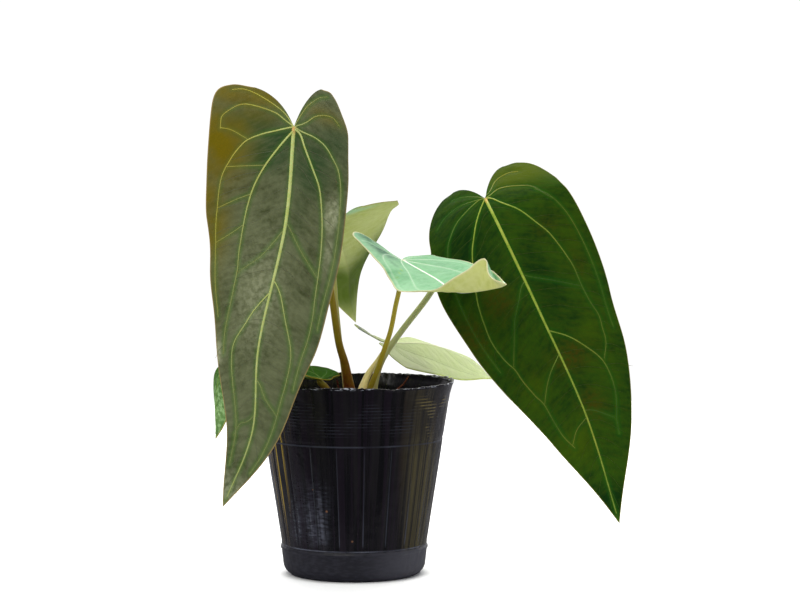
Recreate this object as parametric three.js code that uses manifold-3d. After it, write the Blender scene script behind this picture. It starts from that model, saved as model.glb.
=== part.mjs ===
// Potted anthurium: six velvety heart-shaped leaves rising from one crown in a thin black pot.
// Millimetres, +Z up, origin at the middle of the pot's underside, the two long blades facing -Y.
import * as THREE from 'three';
import { mergeVertices } from 'three/addons/utils/BufferGeometryUtils.js';
import Module from 'manifold-3d';

const wasm = await Module();
wasm.setup();

const GAP = 0.35;                 // air between touching pieces

// Pot: a soft blown shell with pleats down its wall
const FOOT_DROP = 1.5;            // all heights here are above a datum this far over the underside
const POT_HEIGHT = 115;
const POT_RIM_RADIUS = 60;
const POT_WALL = 0.9;
const POT_BASE = 1.6;
const WALL_FOOT_Z = 14.5;
const WALL_FOOT_RADIUS = 43.2;
const WALL_SLOPE = 0.156;         // radius gained per millimetre of height
const PLEATS = 16;
const PLEAT_DEPTH = 0.35;
const PLEAT_HALF_ANGLE = THREE.MathUtils.degToRad(2);
const PLEAT_FIRST = THREE.MathUtils.degToRad(-83);
const PLEAT_LOW_Z = 20;
const PLEAT_HIGH_Z = 80;
const RIDGES = 4;
const RIDGE_LOW_Z = 83.5;
const RIDGE_PITCH = 3;
const RIDGE_HEIGHT = 0.2;
// Profile of the foot: a rounded corner, a straight band and the bead with its groove
const POT_FOOT = [[36.5, -FOOT_DROP], [39.4, -0.6], [41.4, 1.4], [42.7, 4.3], [43.8, 13.5],
  [44.4, 14.5], [44.4, 15.8], [43.6, 16.6], [43.9, 17.6]];
const POT_GROOVE_Z = 81.5;        // shallow groove between the pleats and the ridges
const POT_GROOVE_DEPTH = 0.3;
const POT_BAND_Z = 107;           // smooth band from here to the rim
const POT_LIP = 1.2;              // thickness of the rolled rim
const POT_INSIDE_Z = [109, 100, 60, 22];
const POT_INSIDE_FOOT = [[40.6, 6], [38.4, POT_BASE - FOOT_DROP]];
const DRAIN_HOLES = 8;
const DRAIN_RADIUS = 3.5;
const DRAIN_RING = 26;

// Potting mix: coarse bark, a little below the rim
const SOIL_Z = 100;
const SOIL_BANK = 6;              // extra height of the mix against the crown's left side
const SOIL_BANK_AT = [-12, -6];
const SOIL_BANK_SPREAD = 18;
const SOIL_EDGE_Z = 97;           // height of the mix along the pot's wall
const SOIL_FOOT = [[38, POT_BASE - FOOT_DROP + GAP], [40, 6]];
const SOIL_WALL_Z = [22, 60, SOIL_EDGE_Z];
const SOIL_TOP_RINGS = [44, 32, 20];
const CHIPS = 26;
const CHIP_SEED = 7;
const CHIP_NEAREST = 14;          // chips lie this far from the middle and out over the reach
const CHIP_REACH = 34;
const CHIP_TILT = 0.9;

// Crown: the short stem that the leaf stalks sit on
const CROWN_CENTRE = new THREE.Vector3(4, -2, 0);
const CROWN_RADII = [12.6, 11];   // along x and y
const CROWN_LOW_Z = 80;
const CROWN_HIGH_Z = 103;
const CROWN_SIDES = 20;
// Crown profile, foot to top: share of its radii and of its height; the steps are leaf scars
const CROWN_PROFILE = [[0.62, 0], [0.82, 0.22], [0.78, 0.3], [0.95, 0.5], [0.9, 0.58], [1, 0.8],
  [0.72, 1]];

// Blade: thickness and the rise of its ribs, above and below
const BLADE = 0.7;
const MIDRIB_UP = 0.15;
const MIDRIB_DOWN = 0.9;
const RIB_UP = 0.1;
const RIB_DOWN = 0.4;
const MAIN_RIBS = [2, 3, 4, 5];   // rows of RIB_PLAN that carry a raised rib
const RIB_SHOULDER = 0.07;        // half width of a raised rib, in rows
const LOBE_REACH = 0.15;          // how far the lobes reach behind the stalk, of the length

// Plan of one half blade, from the lobe's inner edge to the tip. Each row is one rib line:
// its start on the midrib, its handle across and along, its end on the margin across and along.
// Across is in half widths, along is in lengths from the stalk to the tip.
const RIB_PLAN = [
  [0.00, 0.18, -0.120, 0.49, -0.139],
  [0.00, 0.32, -0.108, 0.73, -0.136],
  [0.00, 0.42, -0.100, 0.91, -0.089],
  [0.00, 0.55, -0.030, 0.965, 0.052],
  [0.00, 0.66, 0.030, 1.03, 0.271],
  [0.00, 0.60, 0.180, 0.876, 0.527],
  [0.22, 0.42, 0.500, 0.52, 0.730],
  [0.50, 0.20, 0.740, 0.19, 0.899],
  [1.00, 0.00, 1.000, 0.00, 1.000],
];
const TIP_ROW = RIB_PLAN.length - 1;
const ACROSS_STEPS = [0, 0.07, 0.28, 0.52, 0.76, 1];

// Each leaf: its midrib from behind the stalk to the tip, which way its face looks at the base,
// middle and tip, then for its two halves the half width, the fold up from the midrib and the
// curl, each given at the lobe, at the stalk and on evenly to the tip, and the lobes' lengths.
const LEAVES = {
  a: {
    midrib: [[-30, -54, 296], [-33, -74, 266.5], [-37.5, -84, 211], [-52.5, -88, 143],
      [-56.5, -88, 93], [-73.7, -84, 49.5]],
    face: [[0.31, -0.95, 0.3], [-0.25, -0.97, 0.12], [-0.26, -0.97, 0.05]],
    half: [[54, 50.5, 47.5, 43, 35, 42.5, 55], [29, 37.5, 33.5, 35, 40, 39, 44.5]],
    fold: [[-6, -8, -8, -4], [-6, -8, -8, -4]],
    curl: [[-8, -10, -10, 0], [-8, -10, -10, 0]],
    lobe: [0.68, 1.05],
    rowStep: 1 / 3,
    colour: 0x55603c,
  },
  b: {
    midrib: [[73, 40, 241], [79, 0, 224], [87.5, -16, 206], [111, -24, 156], [138, -27, 96],
      [158, -26, 31.8]],
    face: [[-0.45, -0.89, 0.75], [0.13, -0.99, 0.25], [-0.05, -1, 0.1]],
    half: [[37, 45.5, 49.5, 47.5, 45, 48, 40.5], [36.5, 47, 49.5, 49.5, 50.5, 51.5, 46]],
    fold: [[-6, -8, -8, -4], [-6, -8, -8, -4]],
    curl: [[-8, -10, -10, 0], [-8, -10, -10, 0]],
    lobe: [1.1, 1.13],
    rowStep: 1 / 3,
    colour: 0x22381a,
  },
  c: {
    midrib: [[26, -6, 190], [29, -22, 188], [47, -48, 179], [61, -78, 172.5], [80, -110, 176],
      [86, -142, 180]],
    face: [[0, 0, 1], [-0.11, -0.2, 1], [-0.03, -0.11, 1]],
    half: [[33, 35, 35, 32, 30.5, 32.5, 30.5, 29.5, 29, 45, 40.5, 37.5],
      [23, 23, 23, 23, 20, 17]],
    fold: [[41, 23, 17, 14, 9.5, 8, 13.5, 20, 52.5, 75.5, 42, 48],
      [2, 6, 11, 16, 18, 25, 33, 46, 66, 82, 86, 80]],
    curl: [[0, 0, 0], [0, 0, 0]],
    lobe: [0.66, 0.5],
    rowStep: 1 / 3,
    colour: 0x8fb894,
  },
  d: {
    midrib: [[-14, 14, 221], [-10.5, 37, 208], [-8, 62, 192.5], [-5, 84, 176], [-5, 107, 160],
      [-1, 121, 142]],
    face: [[0, 0.76, 0.58], [-0.15, 0.79, 0.59], [-0.42, 0.85, 0.44]],
    half: [[36, 41.5, 42.5], [30, 30.5, 30]],
    fold: [[5.5, 18.5, 38, 47.5, 48.5], [9, 11, 21, 22.5, 15.5]],
    curl: [[0, 0, 0], [0, 0, 0]],
    lobe: [1, 1],
    rowStep: 1 / 2,
    colour: 0x7c8440,
  },
  e: {
    midrib: [[12, 29, 138], [21, 35, 134.7], [43, 54, 132.7], [61, 75, 125.7], [77, 97, 115.3],
      [87, 121, 105]],
    face: [[0.38, 0.12, 0.78], [0.41, 0.15, 0.75], [0.41, 0.49, 0.72]],
    half: [[23, 25, 24], [24.5, 24, 24]],
    fold: [[-4.5, -26, -34, -32, -21], [14, 2, -13, -4, -2, 11, 30, 35]],
    curl: [[0, 0, 0], [0, 0, 0]],
    lobe: [0.87, 1.12],
    rowStep: 1 / 2,
    colour: 0xa9b87f,
  },
  f: {
    midrib: [[-11, -27, 118.5], [-19, -29, 118], [-40, -37, 120.5], [-62, -44, 126.5],
      [-77, -48, 123.5], [-80, -51, 85]],
    face: [[0, -0.1, 1], [-0.24, -0.07, 1], [-0.97, -0.22, 0.1]],
    half: [[13, 17.5, 17], [13.5, 16, 23.5, 40]],
    fold: [[5.5, 19.5, -2, 1.5, -3.5], [30.5, 8.5, 17, -13, -55]],
    curl: [[0, 0, 0], [0, 0, 0]],
    lobe: [0.88, 0.68],
    rowStep: 1 / 2,
    colour: 0x4d8a50,
  },
};

// Leaf stalks, from inside the crown up to the blade: radius at the base, radius of the shank
const STALK_ENTRY = 2.5;          // where the stalk meets the blade, ahead of the notch
const FLARE_START = 10;            // the widened base runs this far up before it thins out
const FLARE_LENGTH = 16;
const KNEE_LENGTH = 5;            // the slight swelling under the blade
const KNEE_SWELL = 0.3;           // of the shank's radius
const STALK_SIDES = 10;
const STALKS = {
  a: {
    path: [[-1, -8, 94], [-2, -9, 106], [-5, -15, 125], [-9, -22, 141], [-13, -35, 171],
      [-20, -50, 216], [-27, -64, 248]],
    base: 4.2, shank: 2, colour: 0x6a5a1c,
  },
  b: {
    path: [[11, 1, 94], [11, 1, 105], [14, 3, 120], [19, 4, 131], [29, 6, 145], [46, 10, 167],
      [64, 10, 197]],
    base: 2.7, shank: 1.8, colour: 0x8d9a63,
  },
  c: {
    path: [[8, -7, 94], [8, -7, 106], [14, -10, 122], [18, -13, 134], [22, -15, 146],
      [25, -18, 161], [27, -20, 170]],
    base: 2, shank: 1.2, colour: 0x7c7624,
  },
  d: {
    path: [[-4, 3, 94], [-4, 3, 105], [-8, 11, 131], [-10, 18, 147], [-12, 26, 168],
      [-13, 32, 189]],
    base: 2.4, shank: 1.4, colour: 0x8c8a4e,
  },
  e: {
    path: [[4, 0, 94], [4, 0, 106], [8, 10, 117], [14, 19, 125], [20, 29, 133]],
    base: 3.1, shank: 1.5, colour: 0xc9b98a,
  },
  f: {
    path: [[-12, -11, 94], [-14, -14, 106], [-16, -22, 112]],
    base: 2.1, shank: 1.7, colour: 0x8a6a22,
  },
};

// Thin aerial roots that leave the crown and lie above the mix
const ROOT_RADIUS = 0.8;
const ROOTS = {
  right: [[17, 2, 95], [19, 6, 101], [26, 16, 108], [30, 24, 111], [33, 32, 115]],
  left: [[-6, -4, 95], [-7, -6, 103], [-9, -12, 111], [-10, -15, 117]],
};
const ROOT_COLOUR = 0x6b2f22;
const ROOT_SIDES = 8;
const ROOT_TAPER = 0.4;

function seededRandom(seed) {
  let state = seed;
  return () => {
    state = (state * 16807) % 2147483647;
    return state / 2147483647;
  };
}

// Smooth interpolation through evenly spaced rows of numbers, t counted in rows
function spline(rows, t) {
  const last = rows.length - 1;
  const clamped = Math.min(Math.max(t, 0), last);
  const i = Math.min(Math.floor(clamped), last - 1);
  const f = clamped - i;
  const row = (k) => {
    if (k < 0) return rows[0].map((value, j) => 2 * value - rows[1][j]);
    if (k > last) return rows[last].map((value, j) => 2 * value - rows[last - 1][j]);
    return rows[k];
  };
  const [a, b, c, d] = [row(i - 1), row(i), row(i + 1), row(i + 2)];
  return b.map((value, j) => 0.5 * (2 * value + (c[j] - a[j]) * f
    + (2 * a[j] - 5 * value + 4 * c[j] - d[j]) * f * f
    + (3 * value - a[j] - 3 * c[j] + d[j]) * f * f * f));
}

function curveThrough(points) {
  const curve = new THREE.CatmullRomCurve3(
    points.map((p) => new THREE.Vector3(...p)), false, 'catmullrom', 0.5);
  curve.arcLengthDivisions = 400;
  return curve;
}

function solidFrom(positions, triangles) {
  const mesh = new wasm.Mesh({
    numProp: 3,
    vertProperties: new Float32Array(positions),
    triVerts: new Uint32Array(triangles),
  });
  return new wasm.Manifold(mesh);
}

function solidOf(geometry) {
  const bare = geometry.clone();
  bare.deleteAttribute('normal');
  bare.deleteAttribute('uv');
  const merged = mergeVertices(bare, 1e-4);
  return solidFrom(merged.attributes.position.array, merged.index.array);
}

// Keeps the largest body, so that no crumb of a cut is left loose
function mainBody(solid) {
  return solid.decompose().reduce((best, part) => (part.volume() > best.volume() ? part : best));
}

function namedMesh(name, solid, colour, roughness, metalness = 0) {
  const data = mainBody(solid).getMesh();
  const geometry = new THREE.BufferGeometry();
  geometry.setAttribute('position', new THREE.BufferAttribute(data.vertProperties, 3));
  geometry.setIndex(new THREE.BufferAttribute(data.triVerts, 1));
  geometry.translate(0, 0, FOOT_DROP);
  geometry.computeVertexNormals();
  const material = new THREE.MeshStandardMaterial({ color: colour, roughness, metalness });
  const mesh = new THREE.Mesh(geometry, material);
  mesh.name = name;
  return mesh;
}

// Closed surface turned about Z: rows of points at shared angles, ending in a point on each pole
function turnedSolid(low, rows, high) {
  const count = rows[0].length;
  const positions = [low, ...rows.flat(), high].flat();
  const at = (row, k) => 1 + row * count + (k % count);
  const top = rows.length * count + 1;
  const triangles = [];
  for (let k = 0; k < count; k += 1) {
    triangles.push(0, at(0, k + 1), at(0, k));
    triangles.push(top, at(rows.length - 1, k), at(rows.length - 1, k + 1));
  }
  for (let row = 0; row < rows.length - 1; row += 1) {
    for (let k = 0; k < count; k += 1) {
      triangles.push(at(row, k), at(row, k + 1), at(row + 1, k + 1));
      triangles.push(at(row, k), at(row + 1, k + 1), at(row + 1, k));
    }
  }
  return solidFrom(positions, triangles);
}

function wallRadius(z) {
  return WALL_FOOT_RADIUS + (z - WALL_FOOT_Z) * WALL_SLOPE;
}

// Three angles a pleat: its line and both shoulders
function potAngles() {
  const angles = [];
  for (let k = 0; k < PLEATS; k += 1) {
    const line = PLEAT_FIRST + (k * 2 * Math.PI) / PLEATS;
    angles.push(line - PLEAT_HALF_ANGLE, line, line + PLEAT_HALF_ANGLE);
  }
  return angles;
}

function rimLift(angle) {
  return 0.4 * Math.sin(3 * angle + 1) + 0.25 * Math.sin(7 * angle);
}

// Outer profile of the pot, foot to rim: radius, height and whether the pleats show
function potOutline() {
  const outline = POT_FOOT.map(([r, z]) => ({ r, z, pleat: 0 }));
  for (const z of [PLEAT_LOW_Z, (PLEAT_LOW_Z + PLEAT_HIGH_Z) / 2, PLEAT_HIGH_Z - 3]) {
    outline.push({ r: wallRadius(z), z, pleat: 1 });
  }
  outline.push({ r: wallRadius(PLEAT_HIGH_Z), z: PLEAT_HIGH_Z, pleat: 0 });
  outline.push({ r: wallRadius(POT_GROOVE_Z) - POT_GROOVE_DEPTH, z: POT_GROOVE_Z, pleat: 0 });
  for (let k = 0; k < RIDGES * 2; k += 1) {
    const z = RIDGE_LOW_Z + (k * RIDGE_PITCH) / 2;
    outline.push({ r: wallRadius(z) + (k % 2 ? RIDGE_HEIGHT : 0), z, pleat: 0 });
  }
  outline.push({ r: wallRadius(POT_BAND_Z), z: POT_BAND_Z, pleat: 0 });
  outline.push({ r: POT_RIM_RADIUS - POT_LIP / 2, z: POT_HEIGHT - 2, pleat: 0 });
  outline.push({ r: POT_RIM_RADIUS, z: POT_HEIGHT - 0.5, pleat: 0, rim: true });
  return outline;
}

function potInline() {
  const inline = [{ r: POT_RIM_RADIUS - POT_LIP, z: POT_HEIGHT - 0.5, rim: true }];
  for (const z of POT_INSIDE_Z) {
    inline.push({ r: wallRadius(z) - POT_WALL, z });
  }
  for (const [r, z] of POT_INSIDE_FOOT) {
    inline.push({ r, z });
  }
  return inline;
}

function buildPot() {
  const angles = potAngles();
  const ring = ({ r, z, pleat = 0, rim = false }) => angles.map((angle, k) => {
    const radius = r - (k % 3 === 1 ? pleat * PLEAT_DEPTH : 0);
    const lift = rim ? rimLift(angle) : 0;
    return [radius * Math.cos(angle), radius * Math.sin(angle), z + lift];
  });
  const rows = [...potOutline(), ...potInline()].map(ring);
  let pot = turnedSolid([0, 0, -FOOT_DROP], rows, [0, 0, POT_BASE - FOOT_DROP]);
  for (let k = 0; k < DRAIN_HOLES; k += 1) {
    const angle = ((k + 0.5) * 2 * Math.PI) / DRAIN_HOLES;
    const hole = new THREE.CylinderGeometry(DRAIN_RADIUS, DRAIN_RADIUS, 4 * POT_BASE, 12);
    hole.rotateX(Math.PI / 2);
    hole.translate(DRAIN_RING * Math.cos(angle), DRAIN_RING * Math.sin(angle), POT_BASE / 2 - FOOT_DROP);
    pot = pot.subtract(solidOf(hole));
  }
  return namedMesh('pot', pot, 0x17161b, 0.35);
}

function mixHeight(x, y) {
  const away = Math.hypot(x - SOIL_BANK_AT[0], y - SOIL_BANK_AT[1]) / SOIL_BANK_SPREAD;
  return SOIL_Z + SOIL_BANK * Math.exp(-away * away) + 1.2 * Math.sin(0.19 * x + 1) * Math.cos(0.23 * y)
    + 0.8 * Math.sin(0.45 * x - 0.3 * y + 2);
}

function barkChips() {
  const random = seededRandom(CHIP_SEED);
  const chips = [];
  for (let k = 0; k < CHIPS; k += 1) {
    const angle = random() * 2 * Math.PI;
    const reach = CHIP_NEAREST + CHIP_REACH * Math.sqrt(random());
    const chip = new THREE.BoxGeometry(6 + 7 * random(), 4 + 4 * random(), 2.5 + 2 * random());
    chip.rotateX((random() - 0.5) * CHIP_TILT);
    chip.rotateY((random() - 0.5) * CHIP_TILT);
    chip.rotateZ(random() * Math.PI);
    const [x, y] = [reach * Math.cos(angle), reach * Math.sin(angle)];
    chip.translate(x, y, mixHeight(x, y) + 0.4);
    chips.push(solidOf(chip));
  }
  return chips;
}

function buildPottingMix(standing) {
  const angles = potAngles();
  const ring = (radius, z) => angles.map((angle) => {
    const [x, y] = [radius * Math.cos(angle), radius * Math.sin(angle)];
    return [x, y, z ?? mixHeight(x, y)];
  });
  const inside = (z) => wallRadius(z) - POT_WALL - GAP;
  const rows = SOIL_FOOT.map(([radius, z]) => ring(radius, z));
  for (const z of SOIL_WALL_Z) {
    rows.push(ring(inside(z), z));
  }
  for (const radius of [inside(SOIL_EDGE_Z) - 1, ...SOIL_TOP_RINGS]) {
    rows.push(ring(radius));
  }
  let mix = turnedSolid([0, 0, SOIL_FOOT[0][1]], rows, [0, 0, mixHeight(0, 0)]);
  for (const chip of barkChips()) {
    mix = mix.add(chip);
  }
  for (const piece of standing) {
    mix = mix.subtract(piece);
  }
  return namedMesh('potting_mix', mix, 0x4a3626, 0.95);
}

const BAR_STEP = 9;               // length of one facet of a bar

// Round bar that tapers along a curve; grow thickens it all round to cut a plain hole for it
function taperedBar(points, radiusAt, sides, grow = 0) {
  const curve = curveThrough(points);
  const length = curve.getLength();
  const steps = Math.max(6, Math.round(length / BAR_STEP));
  const frames = curve.computeFrenetFrames(steps, false);
  const positions = [];
  for (let i = 0; i <= steps; i += 1) {
    const centre = curve.getPointAt(i / steps);
    const end = i === 0 ? -grow : (i === steps ? grow : 0);
    centre.addScaledVector(frames.tangents[i], end);
    const radius = radiusAt((i / steps) * length, length) + grow;
    for (let k = 0; k < sides; k += 1) {
      const angle = (k * 2 * Math.PI) / sides;
      const point = centre.clone()
        .addScaledVector(frames.normals[i], radius * Math.cos(angle))
        .addScaledVector(frames.binormals[i], radius * Math.sin(angle));
      positions.push(point.x, point.y, point.z);
    }
  }
  const triangles = [];
  for (let i = 0; i < steps; i += 1) {
    for (let k = 0; k < sides; k += 1) {
      const [a, b] = [i * sides + k, i * sides + ((k + 1) % sides)];
      triangles.push(a, b, b + sides, a, b + sides, a + sides);
    }
  }
  for (let k = 1; k < sides - 1; k += 1) {
    const top = steps * sides;
    triangles.push(0, k + 1, k, top, top + k, top + k + 1);
  }
  return solidFrom(positions, triangles);
}

function stalkSolid(name, grow = 0) {
  const { path, base, shank } = STALKS[name];
  const joint = midribFrame(LEAVES[name], STALK_ENTRY).point;
  const radius = (s, length) => {
    const flare = (base - shank) * Math.exp(-Math.max(s - FLARE_START, 0) / FLARE_LENGTH);
    const knee = KNEE_SWELL * shank * Math.exp(-(length - s) / KNEE_LENGTH);
    return shank + flare + knee;
  };
  return taperedBar([...path, joint.toArray()], radius, STALK_SIDES, grow);
}

function rootSolid(name, grow = 0) {
  const radius = (s, length) => ROOT_RADIUS * (1 - (ROOT_TAPER * s) / length);
  return taperedBar(ROOTS[name], radius, ROOT_SIDES, grow);
}

function crownSolid(grow = 0) {
  const height = CROWN_HIGH_Z - CROWN_LOW_Z;
  const rows = CROWN_PROFILE.map(([share, level]) => {
    const z = CROWN_LOW_Z + level * height + (level < 0.5 ? -grow : grow);
    const ring = [];
    for (let k = 0; k < CROWN_SIDES; k += 1) {
      const angle = (k * 2 * Math.PI) / CROWN_SIDES;
      const lump = 1 + 0.05 * Math.sin(5 * angle + 9 * level);
      ring.push([
        CROWN_CENTRE.x + (CROWN_RADII[0] * share * lump + grow) * Math.cos(angle),
        CROWN_CENTRE.y + (CROWN_RADII[1] * share * lump + grow) * Math.sin(angle), z]);
    }
    return ring;
  });
  const low = [CROWN_CENTRE.x, CROWN_CENTRE.y, CROWN_LOW_Z - 2 - grow];
  const high = [CROWN_CENTRE.x, CROWN_CENTRE.y, CROWN_HIGH_Z + 0.6 + grow];
  return turnedSolid(low, rows, high);
}

function midribOf(leaf) {
  if (!leaf.curve) {
    leaf.curve = curveThrough(leaf.midrib);
    const lengths = leaf.curve.getLengths(400);
    leaf.behind = lengths[400 / (leaf.midrib.length - 1)];
    leaf.length = lengths[400] - leaf.behind;
  }
  return leaf.curve;
}

// Place, direction, side and facing of the midrib at a distance from the stalk
function midribFrame(leaf, along) {
  const curve = midribOf(leaf);
  const total = leaf.length + leaf.behind;
  const share = THREE.MathUtils.clamp((along + leaf.behind) / total, 0, 1);
  const tangent = curve.getTangentAt(share);
  const beyond = along + leaf.behind - share * total;
  const point = curve.getPointAt(share).addScaledVector(tangent, beyond);
  const facing = spline(leaf.face, 2 * THREE.MathUtils.clamp(along / leaf.length, 0, 1));
  const normal = new THREE.Vector3(...facing);
  normal.addScaledVector(tangent, -normal.dot(tangent)).normalize();
  return { point, tangent, normal, across: tangent.clone().cross(normal) };
}

// Value of a list given at the lobe, at the stalk and on to the tip
function alongBlade(values, share) {
  const t = share < 0 ? 1 + share / LOBE_REACH : 1 + share * (values.length - 2);
  return spline(values.map((value) => [value]), t)[0];
}

// Point of the blade's middle surface: half 0 or 1, u from the midrib to the margin, v in rib rows
function bladePoint(leaf, half, u, v) {
  const [start, handleX, handleY, endX, endY] = spline(RIB_PLAN, v);
  const across = 2 * u * (1 - u) * handleX + u * u * endX;
  let share = (1 - u) ** 2 * Math.max(start, 0) + 2 * u * (1 - u) * handleY + u * u * endY;
  if (share < 0) share *= leaf.lobe[half];
  const width = alongBlade(leaf.half[half], share);
  const fold = THREE.MathUtils.degToRad(alongBlade(leaf.fold[half], share));
  const bend = THREE.MathUtils.degToRad(alongBlade(leaf.curl[half], share)) || 1e-3;
  const out = (width / bend) * (Math.sin(fold + bend * across) - Math.sin(fold));
  const up = (-width / bend) * (Math.cos(fold + bend * across) - Math.cos(fold));
  const frame = midribFrame(leaf, share * leaf.length);
  return frame.point
    .addScaledVector(frame.across, half === 0 ? out : -out)
    .addScaledVector(frame.normal, up);
}

// Rib rows of the blade's grid: even steps, and a shoulder on both sides of each raised rib
function gridRows(step) {
  const rows = new Set();
  for (let v = 0; v < TIP_ROW + step / 2; v += step) {
    rows.add(Number(v.toFixed(3)));
  }
  for (const rib of MAIN_RIBS) {
    rows.add(rib - RIB_SHOULDER);
    rows.add(rib + RIB_SHOULDER);
  }
  return [...rows].sort((p, q) => p - q);
}

// Middle surface of a whole blade: both halves share the notch, the midrib and the tip
function bladeSheet(leaf) {
  const rows = gridRows(leaf.rowStep);
  const firstOnMidrib = MAIN_RIBS.at(-1);
  const points = [];
  const ribs = [];
  const index = new Map();
  const vertex = (half, i, j) => {
    const tip = j === rows.length - 1;
    const onMidrib = i === 0 || tip;
    const row = tip ? TIP_ROW : (i === 0 ? Math.max(rows[j], firstOnMidrib) : rows[j]);
    const key = onMidrib ? `midrib ${row}` : `${half} ${i} ${j}`;
    if (!index.has(key)) {
      index.set(key, points.length);
      points.push(bladePoint(leaf, half, tip ? 0 : ACROSS_STEPS[i], row));
      const raised = MAIN_RIBS.includes(rows[j]) && i < ACROSS_STEPS.length - 2;
      ribs.push(onMidrib && !tip ? 'midrib' : (raised ? 'rib' : ''));
    }
    return index.get(key);
  };
  const triangles = [];
  const add = (half, ...corners) => {
    if (new Set(corners).size === 3) {
      triangles.push(half === 0 ? corners : [corners[0], corners[2], corners[1]]);
    }
  };
  for (const half of [0, 1]) {
    for (let j = 0; j < rows.length - 1; j += 1) {
      for (let i = 0; i < ACROSS_STEPS.length - 1; i += 1) {
        const [a, b] = [vertex(half, i, j), vertex(half, i + 1, j)];
        const [c, d] = [vertex(half, i + 1, j + 1), vertex(half, i, j + 1)];
        add(half, a, b, c);
        add(half, a, c, d);
      }
    }
  }
  return { points, ribs, triangles };
}

function sheetNormals({ points, triangles }) {
  const normals = points.map(() => new THREE.Vector3());
  for (const [a, b, c] of triangles) {
    const side = points[b].clone().sub(points[a]);
    const face = side.cross(points[c].clone().sub(points[a]));
    for (const k of [a, b, c]) normals[k].add(face);
  }
  return normals.map((normal) => normal.normalize());
}

// Gives the sheet its thickness and ribs; grow thickens it to keep a neighbour clear
function bladeSolid(leaf, grow = 0) {
  const sheet = bladeSheet(leaf);
  const normals = sheetNormals(sheet);
  const rise = { midrib: [MIDRIB_UP, MIDRIB_DOWN], rib: [RIB_UP, RIB_DOWN], '': [0, 0] };
  const count = sheet.points.length;
  const upper = sheet.points.map((point, k) => point.clone()
    .addScaledVector(normals[k], BLADE / 2 + grow + rise[sheet.ribs[k]][0]));
  const lower = sheet.points.map((point, k) => point.clone()
    .addScaledVector(normals[k], -BLADE / 2 - grow - rise[sheet.ribs[k]][1]));
  const triangles = [];
  const edges = new Set();
  for (const [a, b, c] of sheet.triangles) {
    triangles.push(a, b, c, count + a, count + c, count + b);
    for (const edge of [[a, b], [b, c], [c, a]]) {
      edges.add(edge.join(' '));
    }
  }
  for (const edge of edges) {
    const [a, b] = edge.split(' ').map(Number);
    if (!edges.has(`${b} ${a}`)) {
      triangles.push(b, a, count + a, b, count + a, count + b);
    }
  }
  return solidFrom([...upper, ...lower].flatMap((point) => point.toArray()), triangles);
}

const plant = new THREE.Group();
plant.add(buildPot());

const standing = [crownSolid(GAP)];
let crown = crownSolid();
for (const name of Object.keys(STALKS)) {
  const sleeve = stalkSolid(name, GAP);
  crown = crown.subtract(sleeve);
  standing.push(sleeve);
}
for (const name of Object.keys(ROOTS)) {
  const sleeve = rootSolid(name, GAP);
  crown = crown.subtract(sleeve);
  standing.push(sleeve);
}
plant.add(buildPottingMix(standing));
plant.add(namedMesh('crown', crown, 0x5c5030, 0.8));
for (const name of Object.keys(ROOTS)) {
  plant.add(namedMesh(`aerial_root_${name}`, rootSolid(name), ROOT_COLOUR, 0.7));
}
for (const [name, leaf] of Object.entries(LEAVES)) {
  const blade = bladeSolid(leaf);
  const stalk = stalkSolid(name).subtract(bladeSolid(leaf, GAP)).subtract(blade);
  plant.add(namedMesh(`petiole_${name}`, stalk, STALKS[name].colour, 0.5));
  plant.add(namedMesh(`blade_${name}`, blade, leaf.colour, 0.6));
}

export default plant;
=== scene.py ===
"""Looks of the potted anthurium: velvety ribbed blades, stalks, roots, bark mix, soft black pot."""

import functools
import math

import bpy
import numpy as np
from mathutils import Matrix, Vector
from mathutils.bvhtree import BVHTree


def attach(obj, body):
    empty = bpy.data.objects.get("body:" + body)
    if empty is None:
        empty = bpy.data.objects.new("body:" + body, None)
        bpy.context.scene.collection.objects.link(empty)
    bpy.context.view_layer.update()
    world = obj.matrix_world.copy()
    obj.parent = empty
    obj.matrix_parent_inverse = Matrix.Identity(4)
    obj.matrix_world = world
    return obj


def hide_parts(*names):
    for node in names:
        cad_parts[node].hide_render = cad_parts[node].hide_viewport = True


bl_info = {
    "name": "Potted Anthurium",
    "version": (1, 0, 0),
    "blender": (4, 5, 0),
    "location": "3D View > Sidebar > Anthurium",
    "description": "Builds the leaves, stalks, roots, potting mix and pot of a potted anthurium",
    "category": "Add Mesh",
}

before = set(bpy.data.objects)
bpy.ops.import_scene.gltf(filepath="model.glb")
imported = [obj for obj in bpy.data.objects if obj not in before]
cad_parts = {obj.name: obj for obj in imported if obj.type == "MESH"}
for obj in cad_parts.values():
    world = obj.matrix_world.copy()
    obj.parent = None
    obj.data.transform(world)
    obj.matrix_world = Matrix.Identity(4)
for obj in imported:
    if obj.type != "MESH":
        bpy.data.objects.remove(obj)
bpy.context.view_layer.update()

# All lengths below are in millimetres above the datum of the part's heights, until place() turns
# them into metres in the frame.
MM = 0.001
FOOT_DROP = 1.5

# Plan of one half blade, from the lobe's inner edge to the tip. Each row is one line from the midrib
# to the margin: its start along the midrib, its handle across and along, its end across and along.
# Across is in half widths, along is in lengths from the stalk to the tip.
RIB_PLAN = [
    (0.00, 0.18, -0.120, 0.49, -0.139),
    (0.00, 0.32, -0.108, 0.73, -0.136),
    (0.00, 0.42, -0.100, 0.91, -0.089),
    (0.00, 0.55, -0.030, 0.965, 0.052),
    (0.00, 0.66, 0.030, 1.03, 0.271),
    (0.00, 0.60, 0.180, 0.876, 0.527),
    (0.22, 0.42, 0.500, 0.52, 0.730),
    (0.50, 0.20, 0.740, 0.19, 0.899),
    (1.00, 0.00, 1.000, 0.00, 1.000),
]
TIP_ROW = len(RIB_PLAN) - 1
FIRST_ON_MIDRIB = 5
LOBE_REACH = 0.15
# The margin near the tip: shares along, and the half widths there
TIP_MARGIN = ((0.511, 0.73, 0.899, 1), (0.87, 0.52, 0.19, 0))

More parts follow.
